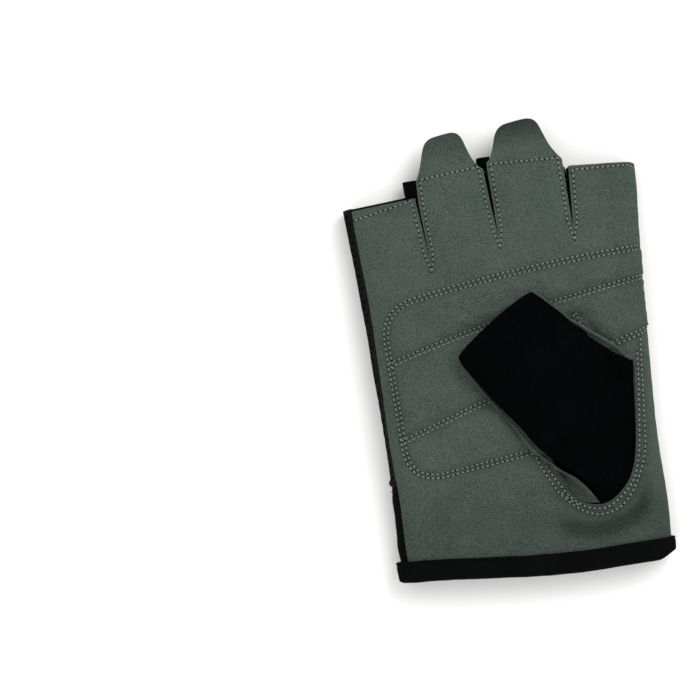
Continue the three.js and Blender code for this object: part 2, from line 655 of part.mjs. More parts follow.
// The suede face of the stall: it comes up inside the palm's side of the hole and lies on the palm.
function thumbFront() {
  const grid = (above) =>
    stallGrid(0.05, 0.95, (share, round) => {
      const plan = holePoint(palmSide, round, STALL_ROOT_INSET).lerp(mouthPoint(round), share);
      const side = 1 - Math.sin(Math.PI * round) ** 0.4;
      const lifted = side * (STALL_SEAM_RISE - THUMB_FRONT_WALL - 2 * SEAM_GAP);
      return new THREE.Vector3(plan.x, plan.y, palmTop(plan.x, plan.y) + 2 * SEAM_GAP + lifted + above);
    });
  return between(grid(THUMB_FRONT_WALL), grid(0));
}

// The binding: a folded band round the wrist's edge, with a leg on each side of the cloth.
function cuffBinding() {
  const columns = [
    ...capColumns(-1, -1, 0, 90),
    ...flatColumns(-1),
    ...capColumns(1, -1, 90, 0),
    ...capColumns(1, 1, 0, 90).slice(1),
    ...flatColumns(1).reverse(),
    ...capColumns(-1, 1, 90, 0).slice(0, -1),
  ];
  const [out, into] = [BINDING_GAP, -Math.max(PALM_WALL, WRIST_BACK_WALL) - BINDING_GAP];
  const fold = BINDING_WIDTH - BINDING_COVER;
  // Distance out from the glove's skin, and along the hand from the band's edge
  const profile = [
    [out, BINDING_WIDTH],
    [out + BINDING_WALL, BINDING_WIDTH],
    [out + BINDING_WALL, BINDING_ROUND],
    [out, 0],
    [into, 0],
    [into - BINDING_WALL, BINDING_ROUND],
    [into - BINDING_WALL, BINDING_WIDTH],
    [into, BINDING_WIDTH],
    [into, fold],
    [out, fold],
  ];
  const ring = columns.map((column, i) => {
    const [before, after] = [columns.at(i - 1), columns[(i + 1) % columns.length]];
    const edge = hem(columnX(column, WRIST_Y));
    const across = skin(after, edge).sub(skin(before, edge));
    const normal = new THREE.Vector3(across.z, 0, -across.x).normalize();
    return profile.map(([distance, along]) => offset(skin(column, edge + along), normal, distance));
  });
  const positions = ring.flat().flatMap((p) => [p.x, p.y, p.z]);
  const index = [];
  const sides = profile.length;
  ring.forEach((_, i) => {
    const next = (i + 1) % ring.length;
    for (let k = 0; k < sides; k++) {
      const turn = (k + 1) % sides;
      const [a, b, c, d] = [i * sides + k, i * sides + turn, next * sides + turn, next * sides + k];
      index.push(a, b, c, a, c, d);
    }
  });
  return solid(positions, index);
}

// Materials
const suede = new THREE.MeshStandardMaterial({ color: 0x4f5a56, roughness: 0.95, metalness: 0 });
const mesh = new THREE.MeshStandardMaterial({ color: 0x0d0f0f, roughness: 0.9, metalness: 0 });
const stretch = new THREE.MeshStandardMaterial({ color: 0x0b0c0c, roughness: 0.8, metalness: 0 });
const fleece = new THREE.MeshStandardMaterial({ color: 0x060707, roughness: 1, metalness: 0 });
const tape = new THREE.MeshStandardMaterial({ color: 0x0a0c0d, roughness: 0.75, metalness: 0 });

function named(name, made, material) {
  const { vertProperties, triVerts } = made.getMesh();
  const geometry = new THREE.BufferGeometry()
    .setAttribute("position", new THREE.BufferAttribute(new Float32Array(vertProperties), 3))
    .setIndex(new THREE.BufferAttribute(new Uint32Array(triVerts), 1));
  geometry.computeVertexNormals();
  const piece = new THREE.Mesh(geometry, material);
  piece.name = name;
  return piece;
}

const glove = new THREE.Group();
glove.add(named("palm_panel", palmPanel(), suede));
glove.add(named("back_mesh_panel", backMeshPanel(), mesh));
glove.add(named("wrist_back_panel", wristBackPanel(), stretch));
SLITS.forEach((_, i) => {
  const name = `fourchette_${FINGERS[i].name}_${FINGERS[i + 1].name}`;
  glove.add(named(name, fourchette(i), stretch));
});
FINGERS.forEach((finger, i) => {
  if (finger.tab) glove.add(named(`pull_tab_${finger.name}`, pullTab(i), suede));
});
glove.add(named("thumb_back", thumbBack(), fleece));
glove.add(named("thumb_front", thumbFront(), suede));
glove.add(named("cuff_binding", cuffBinding(), tape));

export default glove;
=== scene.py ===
# A fingerless weightlifting glove for the right hand, lying palm up on a pale floor.
# Forms are worked out in millimetres, in the CAD model's frame, and their meshes are in metres:
# +Z is up, +Y runs to the fingertips, and the thumb side is +X.
import math

import bpy
import numpy as np
from bpy.props import FloatProperty, FloatVectorProperty, PointerProperty
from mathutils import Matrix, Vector, bvhtree, geometry, kdtree


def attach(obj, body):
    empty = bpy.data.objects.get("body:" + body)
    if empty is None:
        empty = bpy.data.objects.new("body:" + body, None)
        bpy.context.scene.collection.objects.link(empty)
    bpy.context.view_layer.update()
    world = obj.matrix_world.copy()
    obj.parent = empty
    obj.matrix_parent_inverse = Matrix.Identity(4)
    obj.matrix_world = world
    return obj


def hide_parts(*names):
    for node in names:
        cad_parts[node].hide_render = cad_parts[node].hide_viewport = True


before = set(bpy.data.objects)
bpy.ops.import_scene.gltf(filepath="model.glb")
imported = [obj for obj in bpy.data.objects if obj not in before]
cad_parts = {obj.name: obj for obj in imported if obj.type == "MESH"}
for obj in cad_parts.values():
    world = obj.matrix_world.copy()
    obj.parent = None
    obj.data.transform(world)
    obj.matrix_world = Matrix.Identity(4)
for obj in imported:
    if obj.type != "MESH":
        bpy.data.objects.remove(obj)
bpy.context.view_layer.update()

bl_info = {
    "name": "Weightlifting glove",
    "version": (1, 0, 0),
    "blender": (4, 5, 0),
    "location": "View3D > Sidebar > Glove",
    "description": "Sews the pieces of a fingerless weightlifting glove",
    "category": "Object",
}

MM = 0.001

# The hand part
WRIST_WIDTH = 101
PALM_LENGTH = 122
PALM_HEIGHT = 16.4
WRIST_DROP = 4.2
TOP_RADIUS = 9
BOTTOM_RADIUS = 8
SIDE_SHARE = 0.42
ORIGIN_SHARE = 0.643
SEAM_RIGHT = math.radians(52)

# The seam over the little finger's side: places along the hand, and how far down the side it lies
SEAM_LEFT_AT = [-66, -50, -41, -36, -21, 0, 17, 44, 60]
SEAM_LEFT_TURN = np.radians([48, 46, 42, 38, 36, 40, 46, 48, 50])

# How far the wrist's hem sags: places across it and the sag, and the rounding of its right end
HEM_SAG = [
    (-56, 0.7), (-42, 0.8), (-33, 1), (-13, 1.9), (2.4, 2.3), (17.6, 1.8), (33, 0.7), (46, 0), (56, 0),
]
HEM_CORNER = 4

# The cloth
PALM_WALL = 1.8
BACK_WALL = 1.6
FOURCHETTE_WALL = 1.1
STALL_BACK_WALL = 1.6
STALL_FRONT_WALL = 1.2
SEAM_GAP = 0.3

# From the little finger to the index finger: width, length past the knuckles, tilt of the end,
# how far the mesh shows past the suede, the length of a pull tab, and how far in from the end the
# row of thread lies, at its left and its right
FINGERS = [
    {"width": 27, "length": 19.2, "tilt": 2.8, "past": 0.9, "tab": 0, "row": (1.6, 0.8)},
    {"width": 25, "length": 27.4, "tilt": 1.2, "past": 0.3, "tab": 16.6, "row": (-0.3, -1)},
    {"width": 27.7, "length": 29.2, "tilt": -2.2, "past": 0.3, "tab": 16.4, "row": (0.8, -0.4)},
    {"width": 24.4, "length": 24.4, "tilt": -1.4, "past": -0.3, "tab": 0, "row": (1.6, 1)},
]
SLITS = [
    {"depth": 4, "gap": 0.9, "lean": 2},
    {"depth": -1.5, "gap": 1.5, "lean": 1.7},
    {"depth": -0.8, "gap": 1.8, "lean": -0.3},
]
HEM_INSET = 1.6
TAB_DROOP = 3.3
FINGER_ROUNDING = 1.5
ROUNDING_REACH = 8
CORNER_CUT = 2
CORNER_FALL = (0.35, 1.3)  # how the index finger's end falls at its outer corner: share and power

KNUCKLE_HALF = (sum(f["width"] for f in FINGERS) + sum(s["gap"] for s in SLITS)) / 2
WRIST_Y = -PALM_LENGTH * ORIGIN_SHARE
KNUCKLE_Y = WRIST_Y + PALM_LENGTH
FAR = 2 * PALM_LENGTH

# The body's form along the hand, as in the CAD source
SECTION_AT = np.array([0, 0.14, 0.32, 0.45, 0.64, 0.85, 1, 1.16, 1.3])
SECTION_WIDTH = np.array([-0.35, -0.08, -0.22, -0.2, 0.05, 0.33, 0.66, 0.98, 1])
SECTION_HEIGHT = np.array([0.83, 0.85, 0.94, 0.99, 1, 0.98, 0.91, 0.85, 0.83])

# The sewn lines across the palm: place along it, slope and bow over the half width
QUILT_LINES = [
    (0.905, 0.052, -0.02),
    (0.776, 0.096, -0.021),
    (0.567, 0.141, -0.007),
    (0.369, 0.058, 0),
]
QUILT_LEFT = -0.865
QUILT_SHOULDER = 4.2
QUILT_ROUNDING = [11.5, 14]
SEAM_LEVEL = 0.8  # how far the cloth lies level on each side of a double seam's middle

# The simulation that fills the pads: the share of their rise it starts from, the least and the most
# that it adds, its mesh's step and frames, and how its cloth behaves
PLUMP_START = 0.6
PLUMP_LEAST = -0.2
PLUMP_CAP = 1.4
SIM_STEP = 2.2
SIM_FRAMES = 20
SIM_CLOTH = {
    "quality": 6,
    "mass": 0.0004,
    "tension_stiffness": 6,
    "compression_stiffness": 6,
    "shear_stiffness": 3,
    "bending_stiffness": 0.02,
    "vertex_group_mass": "sewn",
    "shrink_min": -0.02,
    "use_pressure": True,
    "uniform_pressure_force": 60,
}

# Painted shade on the suede, as how much darker it is painted: along seams, low on the palm, at its right
# side, in the long crease and at the tips of the two pull tabs, and the most in all
SEAM_PAINTED_SHADE = 0.2
SEAM_PAINTED_SHADE_WIDTH = 1.9
LOW_PAINTED_SHADE = 0.2
RIGHT_PAINTED_SHADE = 0.09
CREASE_PAINTED_SHADE = 0.38
TAB_PAINTED_SHADE = [(1, 0.3), (2, 0.58)]
PAINTED_SHADE_MOST = 0.6

# Steps of the meshes of the palm and the wrist's back, the least distance between two points of a
# cut's edge, and from its edge to its other points, in steps
PALM_STEP = 0.8
WRIST_STEP = 1.1
EDGE_APART = 0.3
EDGE_CLEAR = 0.55

# A stitch: half its length in pitches, how far its ends sink and its middle rises in thread widths,
# how far it may swing, and the shape of the dark dot of painted shade in a needle hole
STITCH_HALF = 0.29
STITCH_SINK = -0.3
STITCH_RISE = 1.3
STITCH_SWING = 0.12
HOLE_SHADE_SHAPE = (0.72, 0.72, 0.34)

# Dents and folds of the suede: across and along, turn in degrees, length, width and rise
FOLDS = [
    (-0.35, 0.2, 12, 0.5, 0.13, -0.45),
    (0.15, 0.13, -8, 0.4, 0.09, -0.3),
    (-0.2, 0.985, 70, 0.16, 0.1, -0.3),
    (0.25, 0.97, 100, 0.2, 0.12, -0.35),
]

# Creases that follow a line: its points, half width and rise
CREASES = [
    (
        [(6, -60.5), (14.5, -63.2), (21, -64.8), (28.8, -64.4), (36, -61.8), (41.5, -57.5), (46, -50)],
        3.2,
        -1.5,
    ),
    ([(15, -59.8), (24, -61.2), (30, -60.5), (36.2, -57.8), (41.5, -52)], 1.7, 0.7),
]

# The thumb hole's two sides from its foot to its upper corner, and the rows of thread round it
HOLE_THUMB_SIDE = [
    (26.1, -55.5), (30.5, -54), (36.5, -48.4), (39.8, -41),
    (41.8, -30.1), (43, -19.2), (44, -8), (44.2, -4.4),
]
HOLE_PALM_SIDE = [
    (26.1, -55.5), (22, -55), (19, -53.2), (14, -46.2), (11.4, -40.9),
    (9.4, -33.5), (10.2, -23), (14.5, -6), (21, 6),
    (25.2, 11), (28.1, 5.7), (32.6, 1.5), (38.2, -2.4), (44.2, -4.4),
]
HOLE_MIDDLE = np.array([27.9, -22.3])
HOLE_ROWS = [
    [
        (45.9, -2.6), (45.7, -4.6), (44.4, -16), (43.3, -26.3), (42.4, -34), (41, -41.1), (39.1, -46.8),
        (35.7, -51.3), (32.2, -54.2), (29.5, -55.9), (26.8, -56.8),
        (23.7, -56.7), (21.3, -56), (18.9, -54.8),
        (14.9, -51.5), (11.6, -46.5), (7.6, -39), (5.2, -30), (6, -20), (11, -4), (18, 8), (23.4, 12.4),
        (25.2, 15.3), (26.2, 11.6), (30, 7.2),
    ],
    [
        (48, 2.4), (47.2, -4.8), (45.3, -26.6), (44.6, -34.2),
        (43.5, -39.6), (41.7, -44.5), (39.5, -48.9),
        (36.8, -53.2), (33.8, -56.2), (30.4, -58.1), (26.3, -58.9),
        (23.8, -58.7), (20.2, -57.6), (17.4, -55.8),
        (14.2, -53), (11.2, -49.6), (8.4, -44.6), (5.4, -38.5), (3.4, -32),
    ],
    [(12, -49.6), (14.3, -52), (16.9, -54.2)],
]
HOLE_SEAM_WIDTH = 3.9
ROW_SUNK = 0.45  # how far the thread sinks where a row turns over the side

# The thumb stall's edges from the hole to its mouth, on the fleece and on the suede under it
FLEECE_LOW_EDGE = [
    (24.6, -54.2), (23.2, -49.6), (21.2, -46.4), (18.1, -43.1),
    (13.5, -39.6), (5.5, -32.2), (-0.8, -23.1),
    (-8.8, -12.6), (-14.8, -3.7), (-18.1, 1.5), (-19.2, 4.3),
]
FLEECE_HIGH_EDGE = [
    (43.4, -5.6), (42.3, -4.3), (40.4, -3), (37.3, -1), (33.5, 2),
    (27.1, 7.6), (21.1, 14.2), (16.3, 19), (12.9, 22.6),
    (10.4, 24.7),
]
SUEDE_LOW_EDGE = [
    (25.2, -54.6), (22.4, -50.2), (20.2, -47.3), (17.1, -44.1),
    (12.5, -40.8), (4.5, -33.1), (-1.8, -23.9),
    (-9.5, -13), (-15.1, -4.1), (-18.4, 1.6), (-19, 4),
]
SUEDE_HIGH_EDGE = [
    (43.6, -4.9), (42.4, -3.7), (41, -1.9), (38, 1.5), (34.2, 4.5),
    (29.6, 8), (24.8, 11.7), (20.6, 15.1), (16.4, 19.4),
    (12.9, 22.9), (10.4, 24.3),
]
THUMB_REACH = 55
THUMB_HEIGHT = 9
THUMB_TUCK = 1.8
STALL_ROOT_INSET = 1.3
STALL_TAPER = 1.25  # crowds the rows of a stall's mesh towards its root
STALL_ROLL = 1.5
STALL_LEDGE = 1.2  # how far the suede's far edge lies level before it rolls under
GUSSET_DEPTH = 3.2  # how far the suede lies below the palm's face inside the hole
GUSSET_INSET = 0.35
GUSSET_FALLS = (0.6, -0.8)  # it sinks between these distances from the hole's edge,
GUSSET_LIP = (1.1, 3.2)  # and between these distances from the stall's seam
GUSSET_ROOT = 0.06  # the share of its length that is sunk from edge to edge
STALL_SEAM_RISE = STALL_FRONT_WALL + 2
STALL_RISES_BY = 0.42
EDGE_RISES_BY = 0.15
SEAM_EVENED = 9  # the points on each side that the height of the stall's seam is evened over
STALL_FULLNESS = 0.55
VALLEY_BRIDGE = 3
MOUTH_HEM = 3.5
MOUTH_BOW = 1.7
HEM_RISE = 0.35
HEM_GROOVE = 0.3
HEM_GROOVE_WIDTH = 0.5

# The fourchettes
FOURCHETTE_SEAM = 0.5
FOURCHETTE_BULGE = [3.6, 2.1, 0.2]  # past the shorter finger, where a wall stands free
FOURCHETTE_FREE = [7.8, 4.8, 0.6]  # and how far it goes there

# The binding round the wrist
BINDING_WIDTH = 8
BINDING_COVER = 5
BINDING_WALL = 1
BINDING_GAP = 0.45
BINDING_ROUND = 1.4
BINDING_EDGE = 0.4  # how far its two edges are rounded
BINDING_GROOVE = (0.22, 1.5, 0.35)  # where it is sewn: depth, distance from its edge, and width

# The wrist's back up to the mesh, the mesh's raised edge there, and the row of thread below it
WRIST_BACK_LENGTH = 39
WELT_RISE = 0.8
WELT_AT = 1.4
WELT_WIDTH = 1.1
BACK_ROW_BELOW = 1.6
BACK_ROW_SUNK = 0.4

# The photograph's view: its middle on the glove, what it spans and how it is turned
VIEW_MIDDLE = (-58.0, 12.4)
VIEW_SPAN = 255.5
VIEW_HEIGHT = 14
VIEW_TURN = math.radians(-7.5)
CAMERA_HEIGHT = 2.0
SENSOR = 36

# The stage: the floor's half size and level, the sky's strength, and each lamp's power, size and place
FLOOR_HALF = 4000
FLOOR_LEVEL = -0.15
SKY_STRENGTH = 0.85
LAMPS = {
    "key": (13, 1.0, (0.75, 0.7, 1.2)),
    "fill": (5, 1.8, (-0.9, -0.6, 1.4)),
}


def linear(colour):
    """An sRGB hex colour as linear red, green and blue."""
    parts = [int(colour[i : i + 2], 16) / 255 for i in (1, 3, 5)]
    return [c / 12.92 if c <= 0.04045 else ((c + 0.055) / 1.055) ** 2.4 for c in parts]


def length_property(name, description, value):
    return FloatProperty(name=name, description=description, default=value, unit="LENGTH", precision=5)


def colour_property(name, description, value):
    return FloatVectorProperty(
        name=name, description=description, default=linear(value), subtype="COLOR", min=0, max=1
    )


class GLOVE_PG_sizes(bpy.types.PropertyGroup):
    """Sizes of the padding, the sewing and the knit."""

    pad_rise: length_property("Padding", "How far the foam lifts the suede", 0.0022)
    row_gap: length_property("Row gap", "Between the two rows of a double seam", 0.0016)
    stitch_pitch: length_property("Stitch pitch", "From one needle hole to the next", 0.00185)
    thread_width: length_property("Thread", "Thickness of the sewing thread", 0.00055)
    mesh_pitch: length_property("Mesh pitch", "Between the cells of the spacer mesh", 0.0028)
    mesh_depth: length_property("Mesh depth", "How deep the cells are", 0.0011)
    rib_pitch: length_property("Rib pitch", "Between the ribs of the elastic", 0.0009)
    rib_height: length_property("Rib height", "How far the ribs stand up", 0.00016)


class GLOVE_PG_colours(bpy.types.PropertyGroup):
    """Colours of the cloths, the thread and the stage."""

    suede: colour_property("Suede", "Synthetic suede of the palm", "#3d4b47")
    thread: colour_property("Thread", "Thread on the suede", "#69756f")
    needle_hole: colour_property("Needle holes", "Shade in the needle holes", "#141817")
    mesh: colour_property("Mesh", "Spacer mesh of the back", "#070808")
    stretch: colour_property("Stretch cloth", "Smooth cloth of the wrist", "#050606")
    fleece: colour_property("Fleece", "Brushed cloth of the thumb", "#030404")
    elastic: colour_property("Elastic", "Elastic tape of the binding", "#070808")
    floor: colour_property("Floor", "The floor", "#fefefd")


# Form


def mix(a, b, share):
    return a + (b - a) * share


def smooth(low, high, value):
    share = np.clip((value - low) / (high - low), 0, 1)
    return share * share * (3 - 2 * share)


def quarter(distance, radius):
    """How high a quarter of an ellipse stands, 0 to 1, at a distance from its foot."""
    share = 1 - np.clip(distance / radius, 0, 1)
    return np.sqrt(1 - share * share)


def section(y, column):
    """A column of the sections at any place between its rows, on a smooth curve."""
    at = (np.asarray(y, float) - WRIST_Y) / PALM_LENGTH
    last = len(SECTION_AT) - 1
    i = np.clip(np.searchsorted(SECTION_AT, at) - 1, 0, last - 1)
    before, after = np.maximum(i - 1, 0), np.minimum(i + 2, last)
    span = SECTION_AT[i + 1] - SECTION_AT[i]
    t = np.clip((at - SECTION_AT[i]) / span, 0, 1)
    rise = lambda p, q: (column[q] - column[p]) / (SECTION_AT[q] - SECTION_AT[p]) * span
    return (
        column[i] * (2 * t**3 - 3 * t**2 + 1)
        + rise(before, i + 1) * (t**3 - 2 * t**2 + t)
        + column[i + 1] * (3 * t**2 - 2 * t**3)
        + rise(i, after) * (t**3 - t**2)
    )


def half_width(y):
    return mix(WRIST_WIDTH / 2, KNUCKLE_HALF, section(y, SECTION_WIDTH))


def height(y):
    return PALM_HEIGHT * section(y, SECTION_HEIGHT)


def lift(y):
    """How far the back of the hand is held off the floor by the binding under the wrist."""
    edge = WRIST_Y + WRIST_DROP + BINDING_WIDTH
    return (BINDING_WALL + BINDING_GAP) * (1 - smooth(edge, edge + 2 * BINDING_COVER, y))


def hem(x):
    """Where the wrist's edge lies at places across it, with its sag."""
    even = WRIST_Y + WRIST_DROP * (0.5 - 0.5 * np.sin(math.pi / 2 * np.clip(x / KNUCKLE_HALF, -1, 1)))
    return even - np.interp(x, SAG_LINE[:, 0], SAG_LINE[:, 1])


def slit_foot(i):
    """Where the slit between two fingers starts."""
    return KNUCKLE_Y - SLITS[i]["depth"]


def slit_top(i):
    """Where the shorter of its two fingers ends."""
    return KNUCKLE_Y + min(FINGERS[i]["length"], FINGERS[i + 1]["length"])


def slit_share(i, y):
    return (y - slit_foot(i)) / (slit_top(i) - slit_foot(i))


def slit_half(i, y):
    """Half of a slit's gap, which opens towards the fingertips."""
    return SLITS[i]["gap"] / 2 * np.maximum(0, slit_share(i, y))


def slit_x(i, y):
    """A slit's middle line, which goes on down the hand below its foot."""
    before = sum(f["width"] for f in FINGERS[: i + 1]) + sum(s["gap"] for s in SLITS[:i])
    top = -KNUCKLE_HALF + before + SLITS[i]["gap"] / 2
    foot = top + SLITS[i]["lean"]
    under = foot * half_width(y) / half_width(slit_foot(i))
    return np.where(y < slit_foot(i), under, mix(foot, top, np.minimum(1, slit_share(i, y))))


def finger_fall(x, y):
    """How far a finger's face has fallen at a point, towards the nearest slit."""
    falls = []
    for i in range(len(SLITS)):
        grown = smooth(slit_foot(i) - ROUNDING_REACH, slit_foot(i) + 2 * ROUNDING_REACH, y)
        near = np.maximum(0, 1 - np.abs(x - slit_x(i, y)) / ROUNDING_REACH)
        falls.append(FINGER_ROUNDING * grown * near * near)
    return np.max(falls, axis=0)


def shell(s, y, face):
    """The glove's skin: s runs round it from the middle of the palm (face 1) or of the back (-1)."""
    s, y = np.broadcast_arrays(np.asarray(s, float), np.asarray(y, float))
    own, other = (TOP_RADIUS, BOTTOM_RADIUS) if face > 0 else (BOTTOM_RADIUS, TOP_RADIUS)
    half = half_width(y)
    past = np.abs(s) - (half - own)
    turn = np.clip(past / own, 0, math.pi / 2)
    turned = np.clip((past - own * math.pi / 2) / other, 0, math.pi / 2)
    beyond = np.maximum(0, past - (own + other) * math.pi / 2)
    near_x = np.where(past < 0, np.abs(s), half - own * (1 - np.sin(turn)))
    x = np.sign(s) * np.where(turned > 0, half - other * (1 - np.cos(turned)) - beyond, near_x)
    middle = mix(lift(y), height(y), SIDE_SHARE)
    fall = finger_fall(x, y)
    top, foot = height(y) - fall, lift(y) + fall
    near, far = (top, foot) if face > 0 else (foot, top)
    z = np.where(turned > 0, mix(middle, far, np.sin(turned)), mix(middle, near, np.cos(turn)))
    return np.stack([x, y, z], -1)


def unit(vectors):
    return vectors / np.maximum(np.linalg.norm(vectors, axis=-1, keepdims=True), 1e-9)


def shell_normal(s, y, face):
    step = 0.05
    around = shell(s + step, y, face) - shell(s - step, y, face)
    along = shell(s, y + step, face) - shell(s, y - step, face)
    return unit(np.cross(around, along) * face)


def left_seam(y, face):
    """Where the suede and the mesh meet over the little finger's side, round the skin."""
    half = half_width(y)
    turn = np.interp(y, SEAM_LEFT_AT, SEAM_LEFT_TURN)
    if face > 0:
        return -(half - TOP_RADIUS) - TOP_RADIUS * (math.pi / 2 - turn)
    turn = turn - SEAM_GAP / (BOTTOM_RADIUS - PALM_WALL)
    return -(half - BOTTOM_RADIUS) - BOTTOM_RADIUS * math.pi / 2 - TOP_RADIUS * turn


def right_seam(y, face):
    """Where they meet under the index finger's side."""
    half = half_width(y)
    if face > 0:
        return half - TOP_RADIUS + TOP_RADIUS * math.pi / 2 + BOTTOM_RADIUS * SEAM_RIGHT
    turn = SEAM_RIGHT + SEAM_GAP / (BOTTOM_RADIUS - PALM_WALL)
    return half - BOTTOM_RADIUS + BOTTOM_RADIUS * (math.pi / 2 - turn)


# Lines on the cloth


def evenly(path, step):
    """A path again, with points an even step apart."""
    path = np.asarray(path, float)
    along = np.concatenate([[0], np.cumsum(np.linalg.norm(np.diff(path, axis=0), axis=1))])
    count = max(2, int(round(along[-1] / step)) + 1)
    places = np.linspace(0, along[-1], count)
    return np.stack([np.interp(places, along, path[:, k]) for k in range(path.shape[1])], -1)


def spline(points):
    """A smooth curve through points, in fine steps."""
    points = np.asarray(points, float)
    last = len(points) - 1
    t = np.linspace(0, last, 60 * last + 1)
    i = np.minimum(t.astype(int), last - 1)
    w = (t - i)[:, None]
    a, b = points[np.maximum(i - 1, 0)], points[i]
    c, d = points[i + 1], points[np.minimum(i + 2, last)]
    v, u = (c - a) / 2, (d - b) / 2
    return (2 * b - 2 * c + v + u) * w**3 + (3 * c - 3 * b - 2 * v - u) * w**2 + v * w + b


SAG_LINE = spline(HEM_SAG)
THUMB_SIDE = evenly(spline(HOLE_THUMB_SIDE), 0.4)
PALM_SIDE = evenly(spline(HOLE_PALM_SIDE), 0.4)
HOLE_LOOP = np.concatenate([THUMB_SIDE[:-1], PALM_SIDE[:0:-1]])


def distance_to(paths, x, y):
    """The distance from each point to the nearest of several paths."""
    x, y = np.broadcast_arrays(np.asarray(x, float), np.asarray(y, float))
    nearest = np.full(x.shape, 1e9)
    for path in paths:
        for a, b in zip(path[:-1], path[1:]):
            e = b - a
            t = np.clip(((x - a[0]) * e[0] + (y - a[1]) * e[1]) / max(e @ e, 1e-9), 0, 1)
            nearest = np.minimum(nearest, np.hypot(x - a[0] - e[0] * t, y - a[1] - e[1] * t))
    return nearest


def inside(loop, x, y):
    """Whether each point is inside a closed loop."""
    found = np.zeros(np.shape(x), bool)
    for a, b in zip(loop, np.roll(loop, -1, axis=0)):
        if a[1] != b[1]:
            crosses = (a[1] > y) != (b[1] > y)
            found ^= crosses & (x < a[0] + (b[0] - a[0]) * (y - a[1]) / (b[1] - a[1]))
    return found


def hole_distance(x, y):
    """The distance to the thumb hole's edge, negative inside the hole."""
    loop = evenly(np.vstack([HOLE_LOOP, HOLE_LOOP[:1]]), 2)
    return np.where(inside(HOLE_LOOP, x, y), -1, 1) * distance_to([loop], x, y)


def quilt_y(line, x):
    at, slope, bow = line
    share = x / KNUCKLE_HALF
    return WRIST_Y + PALM_LENGTH * (at + slope * share + bow * share * share)


def quilt_line(line, first, last):
    x = np.linspace(first, last, 40)
    return np.stack([x, quilt_y(line, x)], -1)


def left_line(y):
    return QUILT_LEFT * half_width(y)


def rounded(before, corner, after, radius):
    """Two paths joined at a corner by a smooth bend."""
    start = before[np.linalg.norm(before - corner, axis=1) > radius]
    end = after[np.linalg.norm(after - corner, axis=1) > radius]
    t = np.linspace(0, 1, 14)[1:-1, None]
    bend = start[-1] * (1 - t) ** 2 + 2 * corner * t * (1 - t) + end[0] * t**2
    return np.vstack([start, bend, end])


def quilting():
    """The middle lines of the double rows: the pads' outline and the two lines across them."""
    right = KNUCKLE_HALF + 2.5
    top_x = float(left_line(27))
    foot_x = float(left_line(-38))
    top = quilt_line(QUILT_LINES[0], right, top_x)
    foot = quilt_line(QUILT_LINES[3], foot_x, 4.6)
    side_y = np.linspace(top[-1][1], foot[0][1], 50)
    side = np.stack([left_line(side_y), side_y], -1)
    outline = rounded(top, top[-1], side, QUILT_ROUNDING[0])
    outline = rounded(outline, foot[0], foot, QUILT_ROUNDING[1])
    second = quilt_line(QUILT_LINES[1], float(left_line(5)), right)
    third = quilt_line(QUILT_LINES[2], float(left_line(-22)), 6)
    third_right = quilt_line(QUILT_LINES[2], 37.4, right)
    return outline, second, third, third_right


OUTLINE, SECOND, THIRD, THIRD_RIGHT = quilting()
PADDED_AREA = np.vstack([OUTLINE, [HOLE_MIDDLE], THIRD_RIGHT, [[FAR, 0], [FAR, OUTLINE[0][1]]]])
SEAMS = [evenly(line, 2) for line in (OUTLINE, SECOND, THIRD, THIRD_RIGHT)]
PLUMPED = []


def plump(x, y):
    """How far the simulated cloth has moved out at each point."""
    if not PLUMPED:
        return 0
    tree, triangles, flat, risen = PLUMPED[0]
    x, y = np.broadcast_arrays(np.asarray(x, float), np.asarray(y, float))
    found = [tree.find_nearest((float(a), float(b), 0)) for a, b in zip(x.ravel(), y.ravel())]
    places = np.array([f[0][:2] for f in found])
    corners = triangles[[f[2] for f in found]]
    a, b, c = (flat[corners[:, k]] for k in range(3))
    area = lambda p, q, r: np.cross(q - p, r - p)
    parts = np.stack([area(places, b, c), area(a, places, c), area(a, b, places)], -1)
    shares = parts / area(a, b, c)[:, None]
    return np.sum(risen[corners] * shares, -1).reshape(x.shape)


def pad(x, y, rise):
    """How far the foam lifts the suede at a point, with what the simulation adds."""
    grown = plump(np.clip(x, -KNUCKLE_HALF, KNUCKLE_HALF), y)
    return stuffing(x, y, rise * (PLUMP_START if PLUMPED else 1)) + grown * (x < KNUCKLE_HALF + 1)


def stuffing(x, y, rise):
    """The foam's own thickness at a point, level between the two rows of a seam."""
    sewn = distance_to(SEAMS, x, y) - SEAM_LEVEL
    edge = hole_distance(x, y) - HOLE_SEAM_WIDTH
    side = half_width(y) - x
    nearest = np.minimum(np.minimum(sewn, edge), side)
    return np.where(inside(PADDED_AREA, x, y), rise * quarter(nearest, QUILT_SHOULDER), 0)


def crease_share(points, wide, x, y):
    """How much of a crease there is at a point: full on its line, and fading to its ends."""
    away = distance_to([evenly(spline(points), 2)], x, y)
    fade = smooth(points[0][0] - 2, points[0][0] + 9, x) * smooth(points[-1][0] + 1, points[-1][0] - 6, x)
    return fade * np.exp(-((away / wide) ** 2))


def fold_rise(x, y):
    """How far the dents, folds and creases lift the suede at a point."""
    clear = smooth(0, 2 * BINDING_COVER, y - hem(x) - BINDING_WIDTH)
    total = 0
    for across, along, turn, long, wide, rise in FOLDS:
        cos, sin = math.cos(math.radians(turn)), math.sin(math.radians(turn))
        dx = x / KNUCKLE_HALF - across
        dy = (y - WRIST_Y - along * PALM_LENGTH) / KNUCKLE_HALF
        reach = ((dx * cos + dy * sin) / long) ** 2 + ((dy * cos - dx * sin) / wide) ** 2
        total = total + rise * PALM_WALL * np.exp(-reach)
    for points, wide, rise in CREASES:
        total = total + rise * crease_share(points, wide, x, y)
    return clear * total


